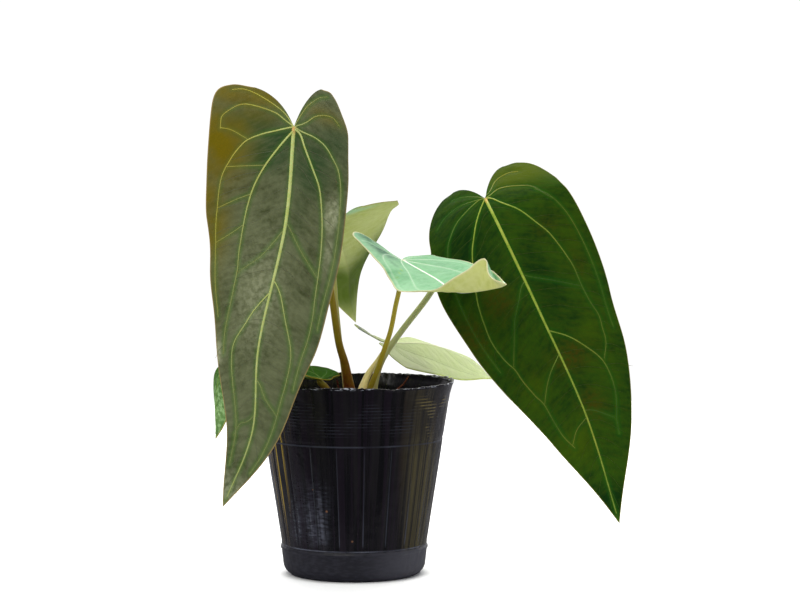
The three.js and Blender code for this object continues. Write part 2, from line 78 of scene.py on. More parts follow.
# Each leaf: midrib from behind the stalk to the tip; which way its face looks at base, middle and
# tip; half width, fold and curl of its two halves at the lobe, at the stalk and on to the tip; the
# lobes' lengths; a ripple of the margin (height, waves); steps of the mesh; then spots by kind, of
# colour and on some leaves of painted light, painted sheen and painted shadow, as noted there, in plan
# shares, where across is negative on half 0: across, along, reach across and along, strength.
LEAVES = {
    "a": {
        "midrib": [(-30, -54, 296), (-33, -74, 266.5), (-37.5, -84, 211), (-52.5, -88, 143),
                   (-56.5, -88, 93), (-73.7, -84, 49.5)],
        "face": [(0.31, -0.95, 0.3), (-0.25, -0.97, 0.12), (-0.26, -0.97, 0.05)],
        "half": [(54, 50.5, 47.5, 43, 35, 42.5, 55), (29, 37.5, 33.5, 35, 40, 39, 44.5)],
        "fold": [(-6, -8, -8, -4)] * 2,
        "curl": [(-8, -10, -10, 0)] * 2,
        "lobe": (0.68, 1.05),
        "ripple": (0.8, 5),
        "steps": (60, 216),
        # the amber spots are painted light shining through the blade
        "yellow_and_painted_backlight": [(-0.85, 0.05, 0.42, 0.13, 1.0), (-1.0, 0.26, 0.3, 0.16, 0.9),
                  (-0.55, -0.1, 0.5, 0.07, 1.0), (-0.95, 0.5, 0.2, 0.2, 0.5),
                  (0.55, -0.06, 0.5, 0.04, 0.5), (-0.45, -0.03, 0.35, 0.05, 0.6)],
        "deep": [(0.35, 0.1, 0.4, 0.09, 0.8), (-0.3, 0.075, 0.3, 0.05, 1.0), (0.2, 0.2, 0.2, 0.12, 0.35),
                 (0.7, 0.02, 0.4, 0.08, 0.6), (-0.45, 0.0, 0.4, 0.05, 0.8), (0.85, 0.6, 0.2, 0.2, 0.4),
                 (-0.15, 0.03, 0.3, 0.03, 1.0), (0.5, 0.84, 0.25, 0.12, 0.6)],
        # the silvery tint is a painted sheen
        "painted_sheen_and_tint": [(0.78, 0.215, 0.14, 0.045, 0.9), (-0.78, 0.6, 0.16, 0.03, 0.8),
                 (0.8, 0.3, 0.1, 0.05, 0.5), (0.0, 0.95, 0.5, 0.05, 0.5),
                 (-0.15, 0.45, 0.45, 0.16, 0.45)],
    },
    "b": {
        "midrib": [(73, 40, 241), (79, 0, 224), (87.5, -16, 206), (111, -24, 156), (138, -27, 96),
                   (158, -26, 31.8)],
        "face": [(-0.45, -0.89, 0.75), (0.13, -0.99, 0.25), (-0.05, -1, 0.1)],
        "half": [(37, 45.5, 49.5, 47.5, 45, 48, 40.5), (36.5, 47, 49.5, 49.5, 50.5, 51.5, 46)],
        "fold": [(-6, -8, -8, -4)] * 2,
        "curl": [(-8, -10, -10, 0)] * 2,
        "lobe": (1.1, 1.13),
        "ripple": (0.7, 4),
        "steps": (60, 216),
        "yellow_and_painted_backlight": [(0.6, -0.08, 0.6, 0.08, 1.0), (0.75, 0.2, 0.3, 0.12, 0.3), (0.5, 0.5, 0.3, 0.12, 0.3),
                  (-0.5, 0.55, 0.3, 0.12, 0.35), (-0.2, 0.75, 0.3, 0.08, 0.4)],
        "deep": [(-0.5, 0.1, 0.4, 0.12, 0.8), (0.2, 0.3, 0.2, 0.12, 0.6), (0.0, 0.95, 1.0, 0.08, 0.8)],
        "painted_sheen_and_tint": [(0.1, 0.52, 0.3, 0.05, 0.7), (0.12, 0.66, 0.2, 0.05, 0.6), (-0.4, 0.3, 0.25, 0.06, 0.6),
                 (-0.87, 0.36, 0.2, 0.08, 0.6), (0.7, 0.3, 0.15, 0.05, 0.4), (0.5, 0.16, 0.2, 0.04, 0.4)],
    },
    "c": {
        "midrib": [(26, -6, 190), (29, -22, 188), (47, -48, 179), (61, -78, 172.5), (80, -110, 176),
                   (86, -142, 180)],
        "face": [(0, 0, 1), (-0.11, -0.2, 1), (-0.03, -0.11, 1)],
        "half": [(33, 35, 35, 32, 30.5, 32.5, 30.5, 29.5, 29, 45, 40.5, 37.5), (23, 23, 23, 23, 20, 17)],
        "fold": [(41, 23, 17, 14, 9.5, 8, 13.5, 20, 52.5, 75.5, 42, 48),
                 (2, 6, 11, 16, 18, 25, 33, 46, 66, 82, 86, 80)],
        "curl": [(0, 0, 0)] * 2,
        "lobe": (0.66, 0.5),
        "ripple": (0.2, 3),
        "steps": (48, 170),
        "yellow_and_painted_backlight": [(-0.73, 0.229, 0.03, 0.009, 1.0), (-0.62, 0.196, 0.03, 0.009, 1.0),
                  (-0.85, 0.27, 0.05, 0.01, 0.6)],
        "deep": [(-0.5, 0.0, 0.3, 0.1, 1.0), (-0.6, -0.1, 0.3, 0.05, 0.8), (0.5, 0.17, 0.35, 0.12, 0.3),
                 (-0.62, 0.13, 0.08, 0.05, 0.5)],
        "painted_sheen_and_tint": [(0.0, 0.97, 1.0, 0.09, 1.0)],
    },
    "d": {
        "midrib": [(-14, 14, 221), (-10.5, 37, 208), (-8, 62, 192.5), (-5, 84, 176), (-5, 107, 160),
                   (-1, 121, 142)],
        "face": [(0, 0.76, 0.58), (-0.15, 0.79, 0.59), (-0.42, 0.85, 0.44)],
        "half": [(36, 41.5, 42.5), (30, 30.5, 30)],
        "fold": [(5.5, 18.5, 38, 47.5, 48.5), (9, 11, 21, 22.5, 15.5)],
        "curl": [(0, 0, 0)] * 2,
        "lobe": (1, 1),
        "ripple": (0.4, 3),
        "steps": (44, 150),
        # the dark band across the blade is a painted shadow
        "deep": [(0.0, 0.69, 1.6, 0.24, 1.15)],
        "painted_sheen_and_tint": [(-0.3, -0.1, 0.35, 0.03, 0.8)],
    },
    "e": {
        "midrib": [(12, 29, 138), (21, 35, 134.7), (43, 54, 132.7), (61, 75, 125.7), (77, 97, 115.3),
                   (87, 121, 105)],
        "face": [(0.38, 0.12, 0.78), (0.41, 0.15, 0.75), (0.41, 0.49, 0.72)],
        "half": [(23, 25, 24), (24.5, 24, 24)],
        "fold": [(-4.5, -26, -34, -32, -21), (14, 2, -13, -4, -2, 11, 30, 35)],
        "curl": [(0, 0, 0)] * 2,
        "lobe": (0.87, 1.12),
        "ripple": (0.2, 3),
        "steps": (40, 140),
        # the grey tint at the lobes is a painted highlight
        "painted_sheen_and_tint": [(0.4, -0.12, 0.5, 0.04, 0.8), (0.0, -0.03, 0.12, 0.06, 0.5)],
    },
    "f": {
        "midrib": [(-11, -27, 118.5), (-19, -29, 118), (-40, -37, 120.5), (-62, -44, 126.5),
                   (-77, -48, 123.5), (-80, -51, 85)],
        "face": [(0, -0.1, 1), (-0.24, -0.07, 1), (-0.97, -0.22, 0.1)],
        "half": [(13, 17.5, 17), (13.5, 16, 23.5, 40)],
        "fold": [(5.5, 19.5, -2, 1.5, -3.5), (30.5, 8.5, 17, -13, -55)],
        "curl": [(0, 0, 0)] * 2,
        "lobe": (0.88, 0.68),
        "ripple": (0.2, 3),
        "steps": (40, 150),
        "deep": [(0.2, 0.3, 0.6, 0.2, 0.5)],
        "painted_sheen_and_tint": [(0.0, 0.85, 1.2, 0.2, 1.0)],
    },
}

# Raised ribs of one half blade in plan shares (across, along), with their radius at the start and at
# the end in millimetres. The first is the inner arc and the second the outer one; the faint side
# ribs run from the midrib to the inner arc and on to the outer one.
MAIN_RIBS = [
    ([(0, 0), (0.08, 0.022), (0.28, 0.09), (0.44, 0.175), (0.56, 0.28), (0.61, 0.38), (0.63, 0.48),
      (0.62, 0.56), (0.58, 0.65), (0.5, 0.74)], 0.7, 0.22),
    ([(0, 0), (0.11, 0.006), (0.35, 0.02), (0.6, 0.06), (0.74, 0.105), (0.86, 0.17), (0.92, 0.26),
      (0.91, 0.38), (0.82, 0.5), (0.7, 0.6)], 0.6, 0.2),
    ([(0, 0), (0.07, -0.01), (0.2, -0.06), (0.36, -0.092), (0.52, -0.108)], 0.45, 0.2),
    ([(0, 0), (0.1, -0.01), (0.3, -0.041), (0.5, -0.056), (0.66, -0.056), (0.82, -0.022)], 0.5, 0.2),
    ([(0, 0.415), (0.05, 0.435), (0.14, 0.456), (0.24, 0.485), (0.36, 0.54), (0.42, 0.6), (0.42, 0.66),
      (0.36, 0.73), (0.27, 0.81), (0.19, 0.87), (0.12, 0.92)], 0.45, 0.2),
    ([(0, 0.635), (0.05, 0.655), (0.12, 0.69), (0.17, 0.74), (0.17, 0.8), (0.12, 0.87)], 0.35, 0.18),
]
LEAF_RIBS = {
    "a": [
        [([(0, 0.01), (0.14, 0.052), (0.3, 0.104), (0.42, 0.158), (0.49, 0.212), (0.53, 0.27),
           (0.55, 0.342), (0.54, 0.398), (0.57, 0.454), (0.61, 0.502), (0.65, 0.552), (0.64, 0.6)],
          0.75, 0.25),
         ([(0, 0), (0.21, 0.016), (0.35, 0.026), (0.51, 0.042), (0.6, 0.06), (0.7, 0.09), (0.82, 0.144),
           (0.88, 0.23), (0.91, 0.33), (0.86, 0.458), (0.8, 0.52)], 0.6, 0.22),
         ([(0, 0), (0.14, -0.054), (0.39, -0.102), (0.58, -0.122), (0.72, -0.114)], 0.45, 0.25),
         ([(0, 0), (0.1, -0.02), (0.23, -0.046), (0.46, -0.062), (0.61, -0.06), (0.75, -0.032),
           (0.82, -0.008), (0.83, 0.02)], 0.5, 0.25),
         ([(0, 0.43), (0.18, 0.482), (0.3, 0.524), (0.45, 0.57), (0.47, 0.608), (0.42, 0.66),
           (0.35, 0.712), (0.24, 0.798), (0.2, 0.84), (0.14, 0.894)], 0.5, 0.2),
         ([(0, 0.745), (0.1, 0.765), (0.21, 0.778), (0.25, 0.814)], 0.28, 0.15),
         ([(0.83, 0.018), (0.7, 0.022), (0.52, 0.04)], 0.3, 0.2),
         ([(0.3, 0.104), (0.54, 0.108), (0.76, 0.112)], 0.3, 0.18),
         ([(0.44, 0.18), (0.66, 0.202), (0.88, 0.23)], 0.3, 0.18),
         ([(0.53, 0.27), (0.71, 0.304), (0.91, 0.336)], 0.3, 0.18),
         ([(0, 0.265), (0.23, 0.342), (0.53, 0.4)], 0.3, 0.2)],
        [([(0, 0.005), (0.11, 0.018), (0.21, 0.056), (0.36, 0.106), (0.51, 0.156), (0.61, 0.228),
           (0.67, 0.298), (0.7, 0.358), (0.72, 0.42), (0.73, 0.472), (0.7, 0.528), (0.62, 0.6),
           (0.54, 0.68)], 0.75, 0.25),
         ([(0, 0), (0.12, 0.008), (0.36, 0.018), (0.54, 0.038), (0.69, 0.072), (0.8, 0.102),
           (0.88, 0.15), (0.91, 0.2), (0.92, 0.26), (0.9, 0.36), (0.82, 0.5)], 0.55, 0.2),
         ([(0, 0), (0.1, -0.038), (0.21, -0.072), (0.41, -0.108), (0.6, -0.124)], 0.35, 0.2),
         ([(0, 0), (0.18, -0.018), (0.35, -0.046), (0.54, -0.062), (0.7, -0.064), (0.8, -0.045)],
          0.45, 0.2),
         ([(0, 0.4), (0.06, 0.406), (0.18, 0.434), (0.32, 0.49), (0.45, 0.552), (0.48, 0.602),
           (0.43, 0.666), (0.36, 0.716), (0.3, 0.77), (0.23, 0.836), (0.16, 0.89)], 0.5, 0.22),
         ([(0, 0.655), (0.06, 0.668), (0.15, 0.706), (0.32, 0.742)], 0.35, 0.2),
         ([(0, 0.245), (0.1, 0.265), (0.32, 0.308), (0.7, 0.368)], 0.3, 0.2)],
    ],
    "b": [
        [([(0, 0), (0.08, 0.02), (0.23, 0.064), (0.35, 0.108), (0.45, 0.152), (0.58, 0.24),
           (0.64, 0.288), (0.68, 0.342), (0.7, 0.396), (0.66, 0.452), (0.6, 0.49), (0.58, 0.528),
           (0.52, 0.578), (0.46, 0.61), (0.42, 0.664), (0.36, 0.718), (0.26, 0.762)], 0.6, 0.22),
         ([(0, 0), (0.1, -0.01), (0.32, 0), (0.49, 0.016), (0.62, 0.05), (0.72, 0.102), (0.8, 0.18),
           (0.84, 0.28), (0.84, 0.38), (0.78, 0.48)], 0.45, 0.18),
         ([(0, 0), (0.1, -0.03), (0.3, -0.075), (0.5, -0.1)], 0.35, 0.18),
         ([(0, 0), (0.15, -0.02), (0.4, -0.045), (0.65, -0.045), (0.8, -0.02)], 0.4, 0.18),
         ([(0, 0.5), (0.2, 0.536), (0.34, 0.572), (0.46, 0.615)], 0.4, 0.2),
         ([(0, 0.69), (0.17, 0.714), (0.28, 0.752)], 0.3, 0.18),
         ([(0, 0.28), (0.07, 0.29), (0.18, 0.324), (0.31, 0.362), (0.42, 0.408), (0.6, 0.48)],
          0.35, 0.2)],
        [([(0, 0), (0.07, 0.01), (0.17, 0.048), (0.29, 0.082), (0.36, 0.108), (0.44, 0.144),
           (0.52, 0.18), (0.57, 0.22), (0.61, 0.26), (0.64, 0.3), (0.64, 0.35), (0.66, 0.406),
           (0.69, 0.452), (0.66, 0.488), (0.62, 0.526), (0.5, 0.566)], 0.6, 0.22),
         ([(0.62, 0.03), (0.74, 0.08), (0.84, 0.15), (0.89, 0.25), (0.88, 0.37), (0.8, 0.5)], 0.25, 0.18),
         ([(0, -0.01), (0.09, -0.024), (0.24, -0.07), (0.45, -0.09), (0.6, -0.082)], 0.35, 0.18),
         ([(0, 0), (0.07, -0.006), (0.23, -0.022), (0.45, -0.008), (0.61, 0.016), (0.7, 0.07),
           (0.77, 0.096)], 0.5, 0.2),
         ([(0, 0.43), (0.19, 0.466), (0.33, 0.508), (0.46, 0.562), (0.48, 0.61), (0.45, 0.654),
           (0.39, 0.692), (0.33, 0.726), (0.3, 0.764)], 0.45, 0.2),
         ([(0, 0.67), (0.12, 0.682), (0.32, 0.72)], 0.3, 0.18),
         ([(0, 0.255), (0.04, 0.268), (0.34, 0.312), (0.64, 0.356)], 0.35, 0.2)],
    ],
}
# Radius of the midrib at the stalk, halfway and at the tip
MIDRIB_RADII = (1.5, 0.9, 0.4)
# How wide the valleys at raised and at faint ribs are, and the margin that stays flat
VALLEY_REACH = 3.4
FAINT_REACH = 1.7
FLAT_MARGIN = 6
# Kinds of spot: amber ones, on A painted light shining through; darker ones, on D a painted shadow; and a
# tint, rust on B, a painted sheen on A and a painted highlight on E
SPOT_KINDS = ("yellow_and_painted_backlight", "deep", "painted_sheen_and_tint")
# A rib is let down from so high, goes down so far where there is no face, and rises at least so much
FALL_FROM = 2.5
FALL_MISSED = 2.1
LEAST_RISE = 0.13

# Leaf stalks from inside the crown up to the blade: path, radius at the base, radius of the shank
STALK_ENTRY = 2.5
STALK_DEPTH = 0.3
FLARE_START = 10
FLARE_LENGTH = 16
KNEE_LENGTH = 5
KNEE_SWELL = 0.3
STALKS = {
    "a": ([(-1, -8, 94), (-2, -9, 106), (-5, -15, 125), (-9, -22, 141), (-13, -35, 171),
           (-20, -50, 216), (-27, -64, 248)], 4.2, 2.0),
    "b": ([(11, 1, 94), (11, 1, 105), (14, 3, 120), (19, 4, 131), (29, 6, 145), (46, 10, 167),
           (64, 10, 197)], 2.7, 1.8),
    "c": ([(8, -7, 94), (8, -7, 106), (14, -10, 122), (18, -13, 134), (22, -15, 146),
           (25, -18, 161), (27, -20, 170)], 2.1, 1.4),
    "d": ([(-4, 3, 94), (-4, 3, 105), (-8, 11, 131), (-10, 18, 147), (-12, 26, 168),
           (-13, 32, 189)], 2.4, 1.4),
    "e": ([(4, 0, 94), (4, 0, 106), (8, 10, 117), (14, 19, 125), (20, 29, 133)], 3.1, 1.5),
    "f": ([(-12, -11, 94), (-14, -14, 106), (-16, -22, 112)], 2.1, 1.7),
}
ROOTS = {
    "right": [(17, 2, 95), (19, 6, 101), (26, 16, 108), (30, 24, 111), (33, 32, 115)],
    "left": [(-6, -4, 95), (-7, -6, 103), (-9, -12, 111), (-10, -15, 117)],
}
CROWN_CENTRE = (4, -2)
CROWN_RADII = (12.6, 11)
CROWN_Z = (80, 103.6)

POT_BASE = 1.6
POT_WALL = 0.9
WALL_FOOT_Z = 14.5
WALL_FOOT_RADIUS = 43.2
WALL_SLOPE = 0.156
RIDGES_Z = (83.5, 105)
PLEATS_Z = (20, 80)
PLEAT_HALF_WIDTH = 0.75
DRAIN_HOLES = 8
DRAIN_RADIUS = 3.5
DRAIN_RING = 26
# The pot's outline at the foot with its ring, at the line above the pleats (height, how far in) and
# at the lip (in from the rim, up from the top, share of its raggedness); then the foot from inside
FOOT_OUTLINE = [
    (36.5, -1.5), (37.8, -1.4), (39.0, -0.9), (40.2, 0.1), (41.3, 1.3), (42.1, 2.6), (42.7, 4.3),
    *((np.interp(z, (4.3, 13.5), (42.7, 43.8)), z) for z in (6.5, 9, 11.5)),
    (43.75, 13.4), (44.0, 14.0), (44.35, 14.5), (44.45, 15.1), (44.3, 15.8), (43.8, 16.2), (43.6, 16.6),
    (43.65, 17.1), (43.9, 17.6),
]
BAND_OUTLINE = ((79.6, 0), (80.3, 0.06), (81.1, 0.32), (81.8, 0.3), (82.5, 0.05))
LIP = ((0.25, -1.2, 0.4), (0.02, -0.6, 0.8), (0.05, -0.15, 1.0), (0.45, 0.05, 1.0), (0.95, -0.15, 1.0),
       (1.2, -0.7, 0.8), (1.35, -1.6, 0.4))
FOOT_INSIDE = ((42.3, 16), (41.6, 11), (40.6, 6), (39.8, 2.6))
POT_SEED, CROWN_SEED, ROOT_SEED = 11, 5, 3
SOIL_Z = 100
MIX_GAP = 0.35
MIX_SIDES = 72
CHIP_SHAPES = ((1.0, 0.62, 0.3), (0.8, 0.5, 0.42), (1.25, 0.34, 0.24))

# Where the photo was taken from, in metres, and how far the camera looks down, in degrees
CAMERA_PLACE = (0.0276, -1.6, 0.2555)
CAMERA_DIP = 3.24

# Looks of each leaf. Colours: tissue above (shade, light), below (low_shade, low_light) and as the
# light comes through; ribs at their palest, plain, at their far ends and below; the margin; the green
# border of the ribs; what the spots turn to, where the darker ones on D are a painted shadow, the amber
# ones on A painted light shining through, and the tint a painted sheen on A and a painted highlight on
# E; the flecks. Then numbers: width of the margin in millimetres, and shares of the border, the paling
# at a rib above and below, gloss, light let through, how stout side ribs and midrib are, and the flecks.
LOOK_NAMES = (
    "shade", "light", "low_shade", "low_light", "through", "rib_pale", "rib", "rib_end", "low_rib",
    "margin", "border", "deep", "low_deep", "yellow_and_painted_backlight", "flush_through", "painted_sheen_and_tint", "fleck", "edge", "bordered",
    "paling", "low_paling", "gloss", "glow", "side_stout", "midrib_stout", "flecked"
)
LEAF_LOOKS = {name: dict(zip(LOOK_NAMES, (*colours.split(), *shares))) for name, (colours, shares) in {
    "a": ("495132 808763 6d7446 8d9560 6f6a1c bcc67c aebb68 7f8a50 b9bf84 b39a62"
          " 46702c 34502c 4f5a30 776a06 8f7206 b4b896 5e6248",
          (0.9, 0.5, 0.12, 0.5, 0.12, 0.28, 0.8, 0.9, 0.3)),
    "b": ("163410 3a5a10 47592a 66793c 4a6610 a2b044 8aa232 2d5a1a 8ba05a 8f8a3a"
          " 1f5214 0d2c0e 33451c 4e5e06 5c6412 4a3c0e 384a10",
          (0.7, 0.6, 0.08, 0.4, 0.02, 0.16, 0.75, 0.75, 0.45)),
    "c": ("70b07e 9ccea2 c4ca6a e4e69c b7c86a fbfdf2 eef6de 9fd3a4 d2d690 e2dcae"
          " 7fc48f 3a6e50 6f8f58 a8c84a b7c86a dce0a0 8fcc9a",
          (1.3, 0.2, 0.15, 0.15, 0.25, 0.16, 0.22, 0.75, 0.4)),
    "d": ("3f7448 6da172 c2c87c e8eab4 b4c05a b3ba72 b9c47c 9aa45a c4c684 c9b98a"
          " 3f7448 4f7a40 5c7606 7a6a2a 9aa83e b4d6bc 8aa36a",
          (0.9, 0.3, 0.4, 0.06, 0.2, 0.5, 0.2, 0.2, 0.15)),
    "e": ("dee7b8 f4f6de bac690 c9d1a6 dbe8a8 e6eac4 e6ecc6 d6dfb4 cdd6a6 cdd478"
          " b4cc90 a9b87f 7f9050 8f9a4a b9c86e 8d9a9c dbe4bc",
          (1.2, 0.2, 0.2, 0.12, 0.2, 0.45, 0.3, 0.35, 0.15)),
    "f": ("24480a 40700e 7d9a50 a0bd76 6f961a 8aa84c 6f9838 4c7a20 a3b56c a8922e"
          " 2a5f1c 1d4a0c 3f5f22 7a6a2a 8f7a22 a6ca8c 2c5a0c",
          (0.9, 0.3, 0.1, 0.2, 0.05, 0.25, 0.4, 0.4, 0.3)),
}.items()}
# What ribs turn to in the amber spots, which on A are painted light shining through, and where they all
# meet at the stalk
GOLD_RIB = "b0a63a"
JUNCTION = "d8a25c"
STALK_COLOURS = {
    "a": ("763616", "907c18", "a69c40"),
    "b": ("c2b06a", "b4bc80", "c0c89a"),
    "c": ("8f7a1c", "b0a02e", "b2a84a"),
    "d": ("b09a60", "a8a65a", "b2b466"),
    "e": ("e6c68c", "eada94", "dcd898"),
    "f": ("9a6a1c", "a8841e", "a39a36"),
}


def linear(code):
    """Linear colour of an sRGB hex value."""
    parts = [int(code[k:k + 2], 16) / 255 for k in (0, 2, 4)]
    return tuple(p / 12.92 if p <= 0.04045 else ((p + 0.055) / 1.055) ** 2.4 for p in parts)


def rgba(colour):
    """Linear colour with full alpha, from a hex value or three numbers; a node or output stays itself."""
    if isinstance(colour, (bpy.types.Node, bpy.types.NodeSocket)):
        return colour
    return (*(linear(colour) if isinstance(colour, str) else colour), 1.0)


# Property groups

class PotSettings(bpy.types.PropertyGroup):
    """Sizes and finish of the pot."""

    rim_radius: bpy.props.FloatProperty(
        name="Rim radius", description="Outer radius at the rim", default=0.060, unit="LENGTH")
    height: bpy.props.FloatProperty(
        name="Height", description="Height of the rim above the datum", default=0.115, unit="LENGTH")
    pleats: bpy.props.IntProperty(
        name="Pleats", description="Vertical pleats round the wall", default=20, min=3)
    pleat_depth: bpy.props.FloatProperty(
        name="Pleat depth", description="Depth of a pleat's line", default=0.0004, unit="LENGTH")
    pleat_first: bpy.props.FloatProperty(
        name="First pleat", description="Direction of the first pleat", default=math.radians(-83),
        subtype="ANGLE")
    ridge_pitch: bpy.props.FloatProperty(
        name="Ridge pitch", description="Spacing of the fine ridges below the rim", default=0.0019,
        unit="LENGTH")
    ridge_height: bpy.props.FloatProperty(
        name="Ridge height", description="Height of the fine ridges", default=0.00011, unit="LENGTH")
    wobble: bpy.props.FloatProperty(
        name="Wobble", description="How far the soft wall wanders in and out", default=0.0007,
        unit="LENGTH")
    colour: bpy.props.FloatVectorProperty(
        name="Colour", description="Colour of the film", size=3, subtype="COLOR",
        default=linear("0e0e11"), min=0, max=1)


class MixSettings(bpy.types.PropertyGroup):
    """Bark chips of the potting mix."""

    spacing: bpy.props.FloatProperty(
        name="Spacing", description="Least distance between two chips", default=0.0024, unit="LENGTH")
    chip_size: bpy.props.FloatProperty(
        name="Chip size", description="Mean length of a chip", default=0.0075, unit="LENGTH")
    seed: bpy.props.IntProperty(name="Seed", description="Arrangement of the chips", default=4)


class StemSettings(bpy.types.PropertyGroup):
    """Stalks, crown and roots."""

    ring_points: bpy.props.IntProperty(
        name="Ring points", description="Points round a stalk", default=28, min=8)
    swell: bpy.props.FloatProperty(
        name="Swell", description="Thickness of all stalks, of their measured radius", default=1.0)
    root_radius: bpy.props.FloatProperty(
        name="Root radius", description="Radius of an aerial root at its base", default=0.0008,
        unit="LENGTH")


class BladeSettings(bpy.types.PropertyGroup):
    """Leaf blades and their ribs."""

    thickness: bpy.props.FloatProperty(
        name="Thickness", description="Thickness of a blade", default=0.0007, unit="LENGTH")
    quilt: bpy.props.FloatProperty(
        name="Quilting", description="Rise of the tissue between the ribs", default=0.0005,
        unit="LENGTH")
    rib_rise: bpy.props.FloatProperty(
        name="Rib rise", description="Rise of a rib above the upper face, of its radius", default=0.32)


class StageSettings(bpy.types.PropertyGroup):
    """Floor, camera and light."""

    floor_colour: bpy.props.FloatVectorProperty(
        name="Floor", description="Colour of the floor", size=3, subtype="COLOR",
        default=linear("f4f5f7"), min=0, max=1)
    lens: bpy.props.FloatProperty(
        name="Lens", description="Focal length of the camera, in millimetres", default=120.0)
    sky: bpy.props.FloatProperty(
        name="Sky", description="Strength of the even white surroundings", default=0.75)
    back_light: bpy.props.FloatProperty(
        name="Back light", description="Power of the panel behind and above", default=24.0)
    key_light: bpy.props.FloatProperty(
        name="Key light", description="Power of the panel in front", default=16.0)


GROUPS = {
    "anthurium_pot": PotSettings,
    "anthurium_mix": MixSettings,
    "anthurium_stems": StemSettings,
    "anthurium_blades": BladeSettings,
    "anthurium_stage": StageSettings,
}


# Meshes

def place(points):
    """Points in millimetres above the datum, as metres in the frame."""
    return (np.asarray(points, float) + (0, 0, FOOT_DROP)) * MM


def mesh_object(name, points, faces=(), edges=(), fields=None, plan=None):
    """A smooth mesh in its place, with a number per point for each field and a flat plan as its UVs."""
    mesh = bpy.data.meshes.new(name)
    mesh.from_pydata(place(points).tolist(), edges, faces)
    for field, values in (fields or {}).items():
        layer = mesh.attributes.new(field, "FLOAT", "POINT")
        layer.data.foreach_set("value", np.asarray(values, np.float32))
    if plan is not None:
        corners = np.zeros(len(mesh.loops), np.int32)
        mesh.loops.foreach_get("vertex_index", corners)
        layer = mesh.uv_layers.new(name="plan")
        layer.data.foreach_set("uv", np.asarray(plan, np.float32)[corners].ravel())
    mesh.shade_smooth()
    obj = bpy.data.objects.new(name, mesh)
    bpy.context.scene.collection.objects.link(obj)
    return obj


def made_plain(obj):
    """Turns what the modifiers of an object make into its own plain mesh."""
    evaluated = obj.evaluated_get(bpy.context.evaluated_depsgraph_get())
    mesh = bpy.data.meshes.new_from_object(evaluated)
    obj.modifiers.clear()
    spare, obj.data = obj.data, mesh
    bpy.data.meshes.remove(spare)
    return obj


def finished(obj, slot, *nodes):
    """Hands a piece over to the frame: it rides on the plant and stands for these nodes of the part."""
    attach(obj, "root")
    if nodes:
        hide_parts(*nodes)


def spline(rows, t):
    """Smooth interpolation through evenly spaced rows of numbers, t counted in rows."""
    rows = np.asarray(rows, float)
    last = len(rows) - 1
    t = np.clip(np.asarray(t, float), 0, last)
    i = np.minimum(t.astype(int), last - 1)
    f = (t - i)[..., None] if rows.ndim > 1 else t - i
    ends = np.concatenate([[2 * rows[0] - rows[1]], rows, [2 * rows[-1] - rows[-2]]])
    a, b, c, d = (ends[i + k] for k in range(4))
    return 0.5 * (2 * b + (c - a) * f + (2 * a - 5 * b + 4 * c - d) * f ** 2
                  + (3 * b - a - 3 * c + d) * f ** 3)


def smooth_line(points, count):
    """So many points along a smooth line through the given ones."""
    return spline(points, np.linspace(0, len(points) - 1, count))


def distances(line):
    """Distance gone at each point of a line."""
    return np.concatenate([[0], np.cumsum(np.linalg.norm(np.diff(line, axis=0), axis=1))])


def even_steps(points, step):
    """Points spaced evenly along a smooth line through the given ones, with their distances."""
    fine = smooth_line(points, 400)
    gone = distances(fine)
    count = max(2, int(round(gone[-1] / step)) + 1)
    at = np.linspace(0, gone[-1], count)
    return np.stack([np.interp(at, gone, column) for column in fine.T], -1), at


def unit(vectors):
    """Vectors brought to length one."""
    return vectors / np.linalg.norm(vectors, axis=-1, keepdims=True)


